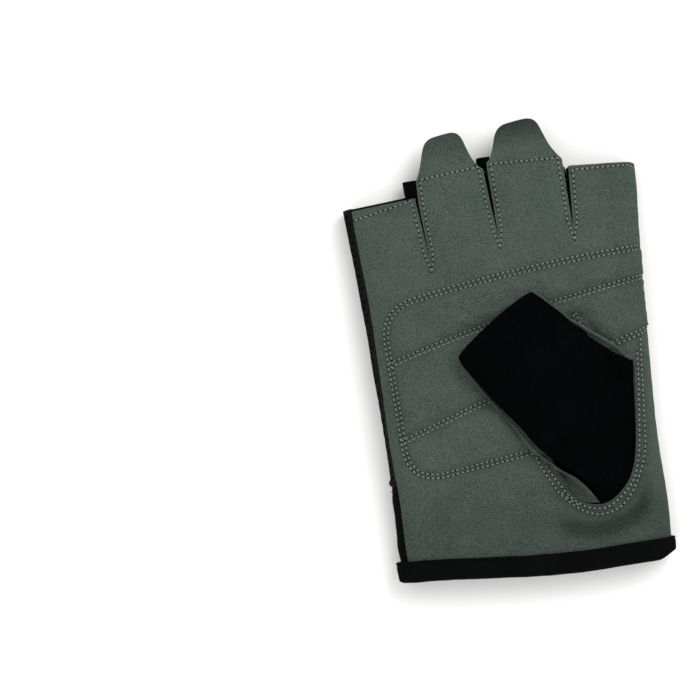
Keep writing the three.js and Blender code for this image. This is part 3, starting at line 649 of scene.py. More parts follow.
def ripple(x, y, size, seed):
    """Soft unevenness from -1 to 1, with waves about size long."""
    rng = np.random.default_rng(seed)
    total = 0
    for _ in range(7):
        turn, phase, scale = rng.uniform(0, 2 * math.pi), rng.uniform(0, 2 * math.pi), rng.uniform(0.7, 1.5)
        along = x * math.cos(turn) + y * math.sin(turn)
        total = total + np.sin(along * 2 * math.pi * scale / size + phase)
    return total / 4


def tab_along(finger, y):
    """The share of a pull tab's length that a place has reached."""
    joint = KNUCKLE_Y + finger["length"] - HEM_INSET + SEAM_GAP
    return np.maximum(0, y - joint) / finger["tab"]


def droop(x, y):
    """How far the pull tabs hang down."""
    down = np.zeros(np.shape(x))
    for i in (1, 2):
        mine = (x > slit_x(i - 1, y)) & (x < slit_x(i, y))
        down = np.where(mine, TAB_DROOP * tab_along(FINGERS[i], y) ** 2.2, down)
    return down


def palm_relief(s, y, rise):
    """How far the suede's face stands over the skin, at places round it."""
    x = shell(s, y, 1)[..., 0]
    over = smooth(KNUCKLE_HALF + 8, KNUCKLE_HALF - 1, s)
    low = pad(np.where(over > 0, x, FAR), y, rise)
    uneven = 0.16 * ripple(s, y, size=26, seed=3) + 0.07 * ripple(s, y, size=9, seed=4)
    near_edge = smooth(0, 6, y - hem(x) - BINDING_WIDTH)
    return low * over + over * fold_rise(x, y) + uneven * near_edge


def palm_face(s, y, rise):
    """The suede's outer face, with its padding, folds and hanging tabs."""
    base = shell(s, y, 1)
    face = base + shell_normal(s, y, 1) * palm_relief(s, y, rise)[..., None]
    face[..., 2] -= droop(base[..., 0], y)
    return face


def painted_shade_at(x, y):
    """How much the suede is darkened at a point by painted shade: along seams, low and at the right of the
    palm, in the crease and at the tab tips.
    """
    sewn = distance_to([evenly(spline(points), 1.5) for points in HOLE_ROWS[:2]] + SEAMS, x, y)
    total = SEAM_PAINTED_SHADE * np.exp(-((sewn / SEAM_PAINTED_SHADE_WIDTH) ** 2))
    total = total + LOW_PAINTED_SHADE * smooth(-34, -60, y) + RIGHT_PAINTED_SHADE * smooth(36, 46, x)
    points, wide, _ = CREASES[0]
    total = total + CREASE_PAINTED_SHADE * crease_share(points, wide, x, y)
    # Painted shade towards the tips of the two pull tabs, where they hang down
    for i, tip_shade in TAB_PAINTED_SHADE:
        mine = (x > slit_x(i - 1, y)) & (x < slit_x(i, y))
        total = total + np.where(mine, tip_shade * smooth(0.2, 1.05, tab_along(FINGERS[i], y)), 0)
    return np.clip(total, 0, PAINTED_SHADE_MOST)


def palm_skin(x, y):
    """The height of the skin over a point, before any padding."""
    turn = quarter(half_width(y) - np.abs(x), TOP_RADIUS)
    return mix(mix(lift(y), height(y), SIDE_SHARE), height(y) - finger_fall(x, y), turn)


def palm_top(x, y, rise):
    """What the thumb stall lies on: the palm's face, with its sewn valleys bridged."""
    around = (-VALLEY_BRIDGE, 0, VALLEY_BRIDGE)
    pads = np.max([stuffing(x + dx, y + dy, rise) for dx in around for dy in around], axis=0)
    return palm_skin(x, y) + pads + np.maximum(0, fold_rise(x, y))


# Meshes


def made(name, points, faces, material, smooth_angle=50):
    """A named object from points in millimetres, shaded smooth up to an angle."""
    mesh = bpy.data.meshes.new(name)
    mesh.from_pydata((np.asarray(points) * MM).tolist(), [], [list(map(int, f)) for f in faces])
    mesh.validate()
    piece = bpy.data.objects.new(name, mesh)
    bpy.context.scene.collection.objects.link(piece)
    mesh.materials.append(material)
    mesh.shade_smooth()
    mesh.set_sharp_from_angle(angle=math.radians(smooth_angle))
    return piece


def store(piece, name, kind, values):
    attribute = piece.data.attributes.new(name, kind, "POINT")
    key = "vector" if kind == "FLOAT_VECTOR" else "value"
    attribute.data.foreach_set(key, np.asarray(values, np.float32).ravel())


def lattice(low, high, step):
    """Points of an even triangular lattice over a box."""
    rise = step * math.sqrt(3) / 2
    rows = np.arange(math.floor(low[1] / rise), math.ceil(high[1] / rise) + 1)
    columns = np.arange(math.floor(low[0] / step) - 1, math.ceil(high[0] / step) + 1)
    c, r = np.meshgrid(columns, rows)
    return np.stack([(c + 0.5 * (r % 2)) * step, r * rise], -1).reshape(-1, 2)


def cut(outline, holes, step):
    """A flat cut of cloth as points and triangles, from its outline and its holes."""
    points, edges = [], []
    for path in [outline, *holes]:
        first = len(points)
        points.extend(path)
        edges += [(first + k, first + k + 1) for k in range(len(path) - 1)]
        edges.append((first + len(path) - 1, first))
    tree = kdtree.KDTree(len(points))
    for k, p in enumerate(points):
        tree.insert((p[0], p[1], 0), k)
    tree.balance()
    free = lattice(outline.min(0), outline.max(0), step)
    keep = inside(outline, free[:, 0], free[:, 1])
    for hole in holes:
        keep &= ~inside(hole, free[:, 0], free[:, 1])
    free = [p for p in free[keep] if tree.find((p[0], p[1], 0))[2] > EDGE_CLEAR * step]
    everything = [Vector((float(p[0]), float(p[1]))) for p in [*points, *free]]
    found, _, faces, *_ = geometry.delaunay_2d_cdt(everything, edges, [], 0, 1e-5)
    flat = np.array([(p.x, p.y) for p in found])
    triangles = np.array([tuple(f) for f in faces])
    a, b, c = flat[triangles[:, 0]], flat[triangles[:, 1]], flat[triangles[:, 2]]
    area = np.cross(b - a, c - a)
    triangles[area < 0] = triangles[area < 0][:, ::-1]
    middle = (a + b + c) / 3
    keep = inside(outline, middle[:, 0], middle[:, 1]) & (np.abs(area) > 1e-5)
    for hole in holes:
        keep &= ~inside(hole, middle[:, 0], middle[:, 1])
    return flat, triangles[keep]


def walled(name, triangles, outer, inner, material, roll=0.25):
    """A closed panel between two faces over the same cut, its cut edges rolled outwards a little."""
    used, triangles = np.unique(triangles, return_inverse=True)
    triangles = triangles.reshape(-1, 3)
    outer, inner = outer[used], inner[used]
    count = len(outer)
    directed = {(int(f[k]), int(f[(k + 1) % 3])) for f in triangles for k in range(3)}
    edge = [(a, b) for a, b in directed if (b, a) not in directed]
    edge.sort()
    rim = sorted({a for a, _ in edge})
    ring = {v: 2 * count + k for k, v in enumerate(rim)}
    outward = np.zeros((count, 3))
    for a, b in edge:
        away = np.cross(outer[b] - outer[a], outer[a] - inner[a])
        outward[a] += away
        outward[b] += away
    middle = (outer[rim] + inner[rim]) / 2 + unit(outward[rim]) * roll
    faces = [*triangles, *(triangles[:, ::-1] + count)]
    for a, b in edge:
        faces.append((b, a, ring[a], ring[b]))
        faces.append((ring[b], ring[a], a + count, b + count))
    piece = made(name, np.vstack([outer, inner, middle]), faces, material)
    return piece, used, rim


def grid_faces(rows, columns, closed=False):
    """Triangles over a grid of points, whose second direction may close on itself."""
    faces = []
    for i in range(rows - 1):
        for j in range(columns if closed else columns - 1):
            k = (j + 1) % columns
            a, b, c, d = i * columns + j, i * columns + k, (i + 1) * columns + k, (i + 1) * columns + j
            faces += [(a, b, c), (a, c, d)]
    return np.array(faces)


def grid_normals(grid):
    along = np.gradient(grid, axis=0)
    across = np.gradient(grid, axis=1)
    return unit(np.cross(across, along))


def outline_of(face, foot, ends, step):
    """The cut's edge in lengths round the skin and along the hand, from the foot line to the ends."""
    side = KNUCKLE_HALF + TOP_RADIUS

    def end_line(i, s):
        """The finger's end, at places round the skin."""
        finger = FINGERS[i]
        y = KNUCKLE_Y + ends(finger)
        rise = finger["tilt"] / 2
        left = -side if i == 0 else float(slit_x(i - 1, y) + slit_half(i - 1, y))
        right = KNUCKLE_HALF - CORNER_CUT if i == 3 else float(slit_x(i, y) - slit_half(i, y))
        at = np.full(np.shape(s), y)
        fall, power = CORNER_FALL
        for _ in range(3):
            x = shell(s, at, face)[..., 0]
            at = y + mix(-rise, rise, (x - left) / (right - left))
            at = np.where((i == 3) & (s > right), y + rise - fall * np.maximum(0, x - right) ** power, at)
        return np.stack([s, at], -1)

    paths = []
    for i in range(4):
        y = KNUCKLE_Y + ends(FINGERS[i])
        rise = FINGERS[i]["tilt"] / 2
        left = left_seam(y, face) if i == 0 else slit_x(i - 1, y) + slit_half(i - 1, y)
        right = right_seam(y, face) if i == 3 else slit_x(i, y) - slit_half(i, y)
        if i > 0:
            up = np.linspace(slit_foot(i - 1), y - rise, 40)
            paths.append(np.stack([slit_x(i - 1, up) + slit_half(i - 1, up), up], -1))
        line = end_line(i, np.linspace(float(left), float(right), 50))
        if face > 0 and FINGERS[i]["tab"]:
            line = tab_line(i)
        paths.append(line)
        if i < 3:
            down = np.linspace(y + rise, slit_foot(i), 40)
            paths.append(np.stack([slit_x(i, down) - slit_half(i, down), down], -1)[:-1])
    top = paths[-1][-1][1]
    first = paths[0][0][1]
    s = np.linspace(float(right_seam(foot(1, 50), face)), float(left_seam(foot(1, -50), face)), 80)
    x = shell(s, np.full(s.shape, -60.0), face)[..., 0]
    bottom = np.stack([s, foot(face, x)], -1)
    down = np.linspace(top, bottom[0][1], 90)
    up = np.linspace(bottom[-1][1], first, 90)
    paths.append(np.stack([right_seam(down, face), down], -1)[1:])
    bottom[0][0] = paths[-1][-1][0]
    bottom[-1][0] = float(left_seam(up[0], face))
    paths.append(bottom[1:])
    paths.append(np.stack([left_seam(up, face), up], -1)[1:-1])
    pieces = [evenly(path, step) for path in paths]
    loop = np.vstack(pieces)
    keep = np.linalg.norm(loop - np.roll(loop, 1, axis=0), axis=1) > EDGE_APART
    return loop[keep]


def bezier(a, b, c, d, count=24):
    t = np.linspace(0, 1, count)[:, None]
    a, b, c, d = (np.array(p, float) for p in (a, b, c, d))
    return a * (1 - t) ** 3 + 3 * b * t * (1 - t) ** 2 + 3 * c * t**2 * (1 - t) + d * t**3


def tab_line(i):
    """The edge of a pull tab, from one side of its finger over the tip to the other."""
    finger = FINGERS[i]
    joint = KNUCKLE_Y + finger["length"] - HEM_INSET + SEAM_GAP
    left = float(slit_x(i - 1, joint) + slit_half(i - 1, joint))
    right = float(slit_x(i, joint) - slit_half(i, joint))
    tilt = finger["tilt"] / 2 / finger["tab"]
    foot = (HEM_INSET - SEAM_GAP) / finger["tab"]
    line = np.vstack([
        bezier((0, foot - tilt), (0.05, 0.16), (0.08, 0.3), (0.125, 0.55)),
        bezier((0.125, 0.55), (0.165, 0.78), (0.2, 0.93), (0.38, 0.96)),
        bezier((0.38, 0.96), (0.44, 0.975), (0.5, 0.99), (0.56, 1.0)),
        bezier((0.56, 1), (0.72, 1.02), (0.74, 0.86), (0.78, 0.68)),
        bezier((0.78, 0.68), (0.84, 0.4), (0.88, 0.24), (1, foot + tilt)),
    ])
    return np.stack([mix(left, right, line[:, 0]), joint + line[:, 1] * finger["tab"]], -1)


# Nodes


def add(tree, kind, inputs=(), **settings):
    """A node with its settings, and for each input a value or the socket that feeds it."""
    node = tree.nodes.new(kind)
    for key, value in settings.items():
        setattr(node, key, value)
    for key, value in dict(inputs).items():
        if isinstance(value, bpy.types.NodeSocket):
            tree.links.new(value, node.inputs[key])
        else:
            node.inputs[key].default_value = value
    return node


def new_tree(name, sizes):
    """A geometry tree with named sizes as its inputs."""
    tree = bpy.data.node_groups.new(name, "GeometryNodeTree")
    tree.interface.new_socket("Geometry", in_out="INPUT", socket_type="NodeSocketGeometry")
    tree.interface.new_socket("Geometry", in_out="OUTPUT", socket_type="NodeSocketGeometry")
    for size in sizes:
        tree.interface.new_socket(size, in_out="INPUT", socket_type="NodeSocketFloat")
    return tree, add(tree, "NodeGroupInput")


def close_tree(tree, shape, material):
    """Ends a tree with real meshes that have a material."""
    real = add(tree, "GeometryNodeRealizeInstances", {"Geometry": shape})
    coloured = add(tree, "GeometryNodeSetMaterial", {"Geometry": real.outputs[0], "Material": material})
    add(tree, "NodeGroupOutput", {"Geometry": coloured.outputs[0]})


def run_tree(piece, tree, sizes):
    """The tree's result, in place of the piece's own mesh."""
    modifier = piece.modifiers.new("pattern", "NODES")
    modifier.node_group = tree
    for item in tree.interface.items_tree:
        if item.in_out == "INPUT" and item.name in sizes:
            modifier[item.identifier] = sizes[item.name]
    graph = bpy.context.evaluated_depsgraph_get()
    mesh = bpy.data.meshes.new_from_object(piece.evaluated_get(graph))
    piece.modifiers.clear()
    piece.data = mesh
    mesh.name = piece.name
    mesh.shade_smooth()
    mesh.set_sharp_from_angle(angle=math.radians(60))


def stitch_tree(name, material, painted_hole_shade):
    """Stitches along a line that carries the cloth's normal: loops of thread, or dark dots of painted shade
    in the needle holes.
    """
    tree, inputs = new_tree(name, ["Pitch", "Width"])
    size = inputs.outputs
    curve = add(tree, "GeometryNodeMeshToCurve", {"Mesh": size["Geometry"]})
    spaced = {"Curve": curve.outputs[0], "Length": size["Pitch"]}
    along = add(tree, "GeometryNodeResampleCurve", spaced, mode="LENGTH")
    up = add(tree, "GeometryNodeInputNamedAttribute", {"Name": "up"}, data_type="FLOAT_VECTOR")
    tangent = add(tree, "GeometryNodeInputTangent")
    swings = {"Min": (-STITCH_SWING,) * 3, "Max": (STITCH_SWING,) * 3, "Seed": 5}
    jitter = add(tree, "FunctionNodeRandomValue", swings, data_type="FLOAT_VECTOR")
    ways = {0: tangent.outputs[0], 1: jitter.outputs[0]}
    swung = add(tree, "ShaderNodeVectorMath", ways, operation="ADD")
    aimed = add(tree, "FunctionNodeAlignRotationToVector", {"Vector": up.outputs[0]}, axis="Z")
    turned = add(
        tree,
        "FunctionNodeAlignRotationToVector",
        {"Rotation": aimed.outputs[0], "Vector": swung.outputs[0]},
        axis="X",
        pivot_axis="Z",
    )
    half = add(tree, "ShaderNodeMath", {0: size["Width"], 1: 0.5}, operation="MULTIPLY")
    # Painted shade: a flattened dark ball half a pitch back stands in for the shade in each needle hole
    if painted_hole_shade:
        ball = add(tree, "GeometryNodeMeshIcoSphere", {"Radius": size["Width"], "Subdivisions": 2})
        back = add(tree, "ShaderNodeMath", {0: size["Pitch"], 1: -0.5}, operation="MULTIPLY")
        place = add(tree, "ShaderNodeCombineXYZ", {"X": back.outputs[0]})
        scaled_inputs = {"Geometry": ball.outputs[0], "Translation": place.outputs[0], "Scale": HOLE_SHADE_SHAPE}
        shape = add(tree, "GeometryNodeTransform", scaled_inputs)
    else:
        ends = []
        for share, rise in ((-STITCH_HALF, STITCH_SINK), (0, STITCH_RISE), (STITCH_HALF, STITCH_SINK)):
            far = add(tree, "ShaderNodeMath", {0: size["Pitch"], 1: share}, operation="MULTIPLY")
            high = add(tree, "ShaderNodeMath", {0: size["Width"], 1: rise}, operation="MULTIPLY")
            place = add(tree, "ShaderNodeCombineXYZ", {"X": far.outputs[0], "Z": high.outputs[0]})
            ends.append(place.outputs[0])
        loop = add(
            tree,
            "GeometryNodeCurveQuadraticBezier",
            {"Resolution": 5, "Start": ends[0], "Middle": ends[1], "End": ends[2]},
        )
        round_ = add(tree, "GeometryNodeCurvePrimitiveCircle", {"Resolution": 6, "Radius": half.outputs[0]})
        shape = add(
            tree,
            "GeometryNodeCurveToMesh",
            {"Curve": loop.outputs[0], "Profile Curve": round_.outputs[0], "Fill Caps": True},
        )
    many = add(
        tree,
        "GeometryNodeInstanceOnPoints",
        {"Points": along.outputs[0], "Instance": shape.outputs[0], "Rotation": turned.outputs[0]},
    )
    close_tree(tree, many.outputs[0], material)
    return tree


def relief_tree(name, material, pattern):
    """Moves a cloth's face by a pattern that follows the cloth: pattern makes the nodes of its height."""
    tree, inputs = new_tree(name, ["Pitch", "Depth"])
    cloth = add(tree, "GeometryNodeInputNamedAttribute", {"Name": "cloth"}, data_type="FLOAT_VECTOR")
    out = add(tree, "GeometryNodeInputNamedAttribute", {"Name": "out"}, data_type="FLOAT_VECTOR")
    size = inputs.outputs
    scaled = add(tree, "ShaderNodeMath", {0: 1.0, 1: size["Pitch"]}, operation="DIVIDE")
    unrolled = {0: cloth.outputs[0], "Scale": scaled.outputs[0]}
    places = add(tree, "ShaderNodeVectorMath", unrolled, operation="SCALE")
    deep = {0: pattern(tree, places.outputs[0]), 1: size["Depth"]}
    high = add(tree, "ShaderNodeMath", deep, operation="MULTIPLY")
    away = {0: out.outputs[0], "Scale": high.outputs[0]}
    offset = add(tree, "ShaderNodeVectorMath", away, operation="SCALE")
    moves = {"Geometry": size["Geometry"], "Offset": offset.outputs[0]}
    moved = add(tree, "GeometryNodeSetPosition", moves)
    close_tree(tree, moved.outputs[0], material)
    return tree


def cells(tree, places):
    """Round cells of a spacer mesh, on a triangular lattice one unit apart."""
    tall = math.sqrt(3)
    far = []
    for start in (0, 0.5):
        place = places
        for operation, by in (
            ("DIVIDE", (1, tall, 1)),
            ("ADD", (start, start, 0)),
            ("FRACTION", (0, 0, 0)),
            ("SUBTRACT", (0.5, 0.5, 0)),
            ("MULTIPLY", (1, tall, 0)),
        ):
            place = add(tree, "ShaderNodeVectorMath", {0: place, 1: by}, operation=operation).outputs[0]
        far.append(add(tree, "ShaderNodeVectorMath", {0: place}, operation="LENGTH").outputs["Value"])
    nearest = add(tree, "ShaderNodeMath", {0: far[0], 1: far[1]}, operation="MINIMUM")
    deep = add(
        tree,
        "ShaderNodeMapRange",
        {"Value": nearest.outputs[0], "From Min": 0.2, "From Max": 0.42, "To Min": -1.0, "To Max": 0.0},
        interpolation_type="SMOOTHSTEP",
    )
    return deep.outputs["Result"]


def ribs(tree, places):
    """Ribs one unit apart across the first direction."""
    parts = add(tree, "ShaderNodeSeparateXYZ", {"Vector": places})
    turn = add(tree, "ShaderNodeMath", {0: parts.outputs["X"], 1: 2 * math.pi}, operation="MULTIPLY")
    wave = add(tree, "ShaderNodeMath", {0: turn.outputs[0]}, operation="SINE")
    return wave.outputs[0]


def cloth_material(
    name, colour, light, grain, relief, roughness, sheen, gloss=0.05, patches=0.1, flecks=0.25
):
    """A dull cloth: its colour varies in soft patches and fine flecks, it is darkened by painted shade that
    a mesh stores as an attribute, and its pile or knit is a bump.

    The grain's size and the bump's height are in metres."""
    if name in bpy.data.materials:
        return bpy.data.materials[name]
    material = bpy.data.materials.new(name)
    material.use_nodes = True
    tree = material.node_tree
    tree.nodes.clear()
    place = add(tree, "ShaderNodeTexCoord").outputs["Object"]
    cloud = add(tree, "ShaderNodeTexNoise", {"Vector": place, "Scale": 90.0, "Detail": 3.0})
    fine = {"Vector": place, "Scale": 1 / grain, "Detail": 2.0, "Roughness": 0.7}
    fleck = add(tree, "ShaderNodeTexNoise", fine)
    dark = [c * (1 - patches - flecks) for c in colour]
    bright = [mix(c, w, flecks) * (1 + patches) for c, w in zip(colour, light)]
    clouded = {0: cloud.outputs["Fac"], 1: patches / (patches + flecks)}
    soft = add(tree, "ShaderNodeMath", clouded, operation="MULTIPLY")
    flecked = {0: fleck.outputs["Fac"], 1: flecks / (patches + flecks), 2: soft.outputs[0]}
    tone = add(tree, "ShaderNodeMath", flecked, operation="MULTIPLY_ADD")
    ramp = add(tree, "ShaderNodeValToRGB", {"Fac": tone.outputs[0]})
    ramp.color_ramp.elements[0].position = 0.3
    ramp.color_ramp.elements[0].color = (*dark, 1)
    ramp.color_ramp.elements[1].position = 0.7
    ramp.color_ramp.elements[1].color = (*bright, 1)
    # Painted shade: the colour is scaled down by the attribute that a mesh stores for it; meshes without it
    # keep their colour
    painted_shade = add(tree, "ShaderNodeAttribute", attribute_name="painted_shade")
    shade_factor = add(tree, "ShaderNodeMath", {0: painted_shade.outputs["Fac"], 1: -1.0, 2: 1.0}, operation="MULTIPLY_ADD")
    scaled_inputs = {0: ramp.outputs["Color"], "Scale": shade_factor.outputs[0]}
    shaded = add(tree, "ShaderNodeVectorMath", scaled_inputs, operation="SCALE")
    pile = {"Height": fleck.outputs["Fac"], "Distance": relief, "Strength": 1.0}
    bump = add(tree, "ShaderNodeBump", pile)
    shader = add(
        tree,
        "ShaderNodeBsdfPrincipled",
        {
            "Base Color": shaded.outputs[0],
            "Normal": bump.outputs["Normal"],
            "Roughness": roughness,
            "Specular IOR Level": gloss,
            "Sheen Weight": sheen,
            "Sheen Roughness": 0.5,
            "Sheen Tint": (*[min(1, 4 * c) for c in colour], 1),
        },
    )
    add(tree, "ShaderNodeOutputMaterial", {"Surface": shader.outputs[0]})
    return material


def suede():
    # Microfibre suede, split and brushed: short pile that looks mottled, with no gloss.
    colour = bpy.context.scene.glove_colours.suede
    look = dict(grain=0.0005, relief=0.00018, roughness=0.95, sheen=0.08, patches=0.07, flecks=0.45)
    return cloth_material("microfibre_suede_brushed", colour, (0.14, 0.155, 0.13), **look)


def spacer_mesh():
    # Polyester spacer mesh, warp-knitted: dull black yarn with a faint sheen on the cell walls.
    colour = bpy.context.scene.glove_colours.mesh
    look = dict(grain=0.0003, relief=0.0001, roughness=0.75, sheen=0.02)
    return cloth_material("polyester_spacer_mesh", colour, (0.02, 0.02, 0.02), **look)


def stretch_cloth():
    # Polyamide and elastane jersey, finely knitted: smooth, even and dull black.
    colour = bpy.context.scene.glove_colours.stretch
    look = dict(grain=0.0003, relief=0.00005, roughness=0.75, sheen=0.02, gloss=0.015)
    look |= dict(patches=0.05, flecks=0.15)
    return cloth_material("elastane_jersey_knit", colour, (0.008, 0.008, 0.009), **look)


def fleece():
    # Polyester fleece, brushed: a soft nap that swallows light.
    colour = bpy.context.scene.glove_colours.fleece
    look = dict(grain=0.0006, relief=0.0001, roughness=1.0, sheen=0.02, gloss=0.005)
    return cloth_material("polyester_fleece_brushed", colour, (0.006, 0.006, 0.007), **look)


def elastic_tape():
    # Polyester elastic tape, woven: ribbed black with a slight gloss on the ribs.
    colour = bpy.context.scene.glove_colours.elastic
    look = dict(grain=0.0004, relief=0.00004, roughness=0.65, sheen=0.02, gloss=0.015)
    return cloth_material("polyester_elastic_woven", colour, (0.008, 0.008, 0.009), **look)


def thread(colour, light, name):
    # Polyester thread, spun and twisted: a little lighter where it catches the light.
    look = dict(grain=0.0002, relief=0.00005, roughness=0.7, sheen=0.05, gloss=0.1)
    return cloth_material(name, colour, light, **look)


# Pieces


def finish_piece(piece, nodes=()):
    """Hides the CAD nodes that a piece stands for, and hangs the piece from the root body."""
    if nodes:
        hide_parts(*nodes)
    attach(piece, "root")
    return piece


def remember(piece, used, rim, flat, out, face_share):
    """Stores the unrolled place and the outward way of each point, for the pattern's tree."""
    count = len(used)
    cloth = np.zeros((len(piece.data.vertices), 3))
    cloth[:count, :2] = flat[used] * MM
    cloth[count : 2 * count] = cloth[:count]
    cloth[2 * count :] = cloth[rim]
    away = np.zeros_like(cloth)
    away[:count] = out[used] * face_share[used][:, None]
    store(piece, "cloth", "FLOAT_VECTOR", cloth)
    store(piece, "out", "FLOAT_VECTOR", away)


def seat(x):
    """Where the cloth's foot lies inside the binding."""
    return hem(x) + BINDING_WIDTH - BINDING_COVER + SEAM_GAP


def palm_cut(step):
    """The palm's flat cut with its thumb hole."""
    outline = outline_of(1, lambda face, x: seat(x), lambda f: f["length"], step)
    loop = evenly(np.vstack([HOLE_LOOP, HOLE_LOOP[:1]]), step)[:-1]
    return cut(outline, [loop], step)


def inflate(rise):
    """Lets Blender's cloth fill out the pads between their sewn lines, from a slightly flatter start."""
    PLUMPED.clear()
    flat, triangles = palm_cut(SIM_STEP)
    s, y = flat[:, 0], flat[:, 1]
    x = shell(s, y, 1)[..., 0]
    out = shell_normal(s, y, 1)
    foam = np.where(s < KNUCKLE_HALF, stuffing(x, y, 1), 0)
    start = shell(s, y, 1) + out * (foam * PLUMP_START * rise)[:, None]
    piece = made("pads_to_fill", start, triangles, suede())
    sewn = piece.vertex_groups.new(name="sewn")
    for k in np.flatnonzero(foam < 0.5):
        sewn.add([int(k)], 1.0, "REPLACE")
    cloth = piece.modifiers.new("fill", "CLOTH")
    for key, value in SIM_CLOTH.items():
        setattr(cloth.settings, key, value)
    cloth.settings.effector_weights.gravity = 0
    cloth.collision_settings.use_collision = False
    for number in range(1, SIM_FRAMES + 1):
        bpy.context.scene.frame_set(number)
    filled = piece.evaluated_get(bpy.context.evaluated_depsgraph_get())
    places = np.empty(3 * len(flat))
    filled.data.vertices.foreach_get("co", places)
    risen = np.sum((places.reshape(-1, 3) / MM - start) * out, -1)
    bpy.context.scene.frame_set(1)
    bpy.data.objects.remove(piece, do_unlink=True)
    risen = np.clip(risen, PLUMP_LEAST, PLUMP_CAP)
    corners = [(float(p[0]), float(p[1]), 0) for p in flat]
    tree = bvhtree.BVHTree.FromPolygons(corners, triangles.tolist())
    PLUMPED.append((tree, triangles, flat, risen))


class GLOVE_OT_palm(bpy.types.Operator):
    """Cut and pad the suede palm with its pull tabs"""

    bl_idname = "glove.palm"
    bl_label = "Palm"

    def execute(self, context):
        sizes = context.scene.glove_sizes
        rise = sizes.pad_rise / MM
        inflate(rise)
        flat, triangles = palm_cut(PALM_STEP)
        s, y = flat[:, 0], flat[:, 1]
        outer = palm_face(s, y, rise)
        dent = np.maximum(0, -palm_relief(s, y, rise) - 0.4)
        inner = shell(s, y, 1) - shell_normal(s, y, 1) * (PALM_WALL + dent)[:, None]
        inner[:, 2] -= droop(inner[:, 0], y)
        piece, used, _ = walled("palm_suede", triangles, outer, inner, suede(), roll=0.15)
        # Painted shade on the palm's outer face, stored as an attribute that darkens the suede's colour
        painted_shade = np.zeros(len(piece.data.vertices))
        painted_shade[: len(used)] = painted_shade_at(flat[used, 0], flat[used, 1])
        store(piece, "painted_shade", "FLOAT", painted_shade)
        finish_piece(piece, ["palm_panel", "pull_tab_ring", "pull_tab_middle"])
        return {"FINISHED"}


def back_piece(name, material, low, high, step, shape):
    """A panel of the back between two places along the hand."""
    if high is None:
        foot = lambda face, x: np.full(np.shape(x), float(low))
        outline = outline_of(-1, foot, lambda f: f["length"] + f["past"], step)
    else:
        y = np.linspace(low(-50), high, 40)
        s = np.linspace(float(left_seam(high, -1)), float(right_seam(high, -1)), 80)
        foot_s = np.linspace(float(right_seam(low(50), -1)), float(left_seam(low(-50), -1)), 80)
        foot_y = low(shell(foot_s, np.full(foot_s.shape, -70.0), -1)[..., 0])
        right_y = np.linspace(high, foot_y[0], 30)
        left_y = np.linspace(foot_y[-1], high, 30)
        outline = np.vstack([
            evenly(np.stack([s, np.full(s.shape, high)], -1), step)[:-1],
            evenly(np.stack([right_seam(right_y, -1), right_y], -1), step)[:-1],
            evenly(np.stack([foot_s, foot_y], -1), step)[:-1],
            evenly(np.stack([left_seam(left_y, -1), left_y], -1), step)[:-1],
        ])
    flat, triangles = cut(outline, [], step)
    s, y = flat[:, 0], flat[:, 1]
    out = shell_normal(s, y, -1)
    base = shell(s, y, -1)
    outer = base + out * shape(s, y)[:, None]
    outer[:, 2] = np.maximum(outer[:, 2], 0)
    inner = base - out * BACK_WALL
    piece, used, rim = walled(name, triangles[:, ::-1], outer, inner, material, roll=0.3)
    edge = distance_to([evenly(np.vstack([outline, outline[:1]]), 2.5)], s, y)
    remember(piece, used, rim, flat, out, smooth(1.0, 2.2, edge))
    return piece


class GLOVE_OT_back(bpy.types.Operator):
    """Knit the spacer mesh of the back and the smooth cloth of the wrist"""

    bl_idname = "glove.back"
    bl_label = "Back"

    def execute(self, context):
        sizes = context.scene.glove_sizes
        seam = WRIST_Y + WRIST_BACK_LENGTH
        pitch = sizes.mesh_pitch / MM
        welt = lambda y: WELT_RISE * np.exp(-(((y - seam - WELT_AT) / WELT_WIDTH) ** 2))
        uneven = lambda s, y: -0.12 + 0.1 * ripple(s, y, size=24, seed=8) + welt(y)
        mesh = back_piece("back_spacer_mesh", spacer_mesh(), seam + SEAM_GAP, None, pitch / 4, uneven)
        tree = relief_tree("mesh_cells", spacer_mesh(), cells)
        run_tree(mesh, tree, {"Pitch": sizes.mesh_pitch, "Depth": sizes.mesh_depth})
        finish_piece(mesh, ["back_mesh_panel"])
        creased = lambda s, y: -0.2 + 0.2 * ripple(s * 0.35, y, size=11, seed=12)
        wrist = back_piece("wrist_stretch_cloth", stretch_cloth(), seat, seam, WRIST_STEP, creased)
        finish_piece(wrist, ["wrist_back_panel"])
        return {"FINISHED"}


def panel_from_grid(name, outer, inner, material, roll=0.2):
    """A closed panel between two grids of points."""
    rows, columns = outer.shape[:2]
    triangles = grid_faces(rows, columns)
    a = outer.reshape(-1, 3)
    b = inner.reshape(-1, 3)
    first, second, third = triangles.T
    normal = np.cross(a[second] - a[first], a[third] - a[first])
    if np.sum(normal * (a[first] - b[first])) < 0:
        triangles = triangles[:, ::-1]
    piece, *_ = walled(name, triangles, a, b, material, roll)
    return piece


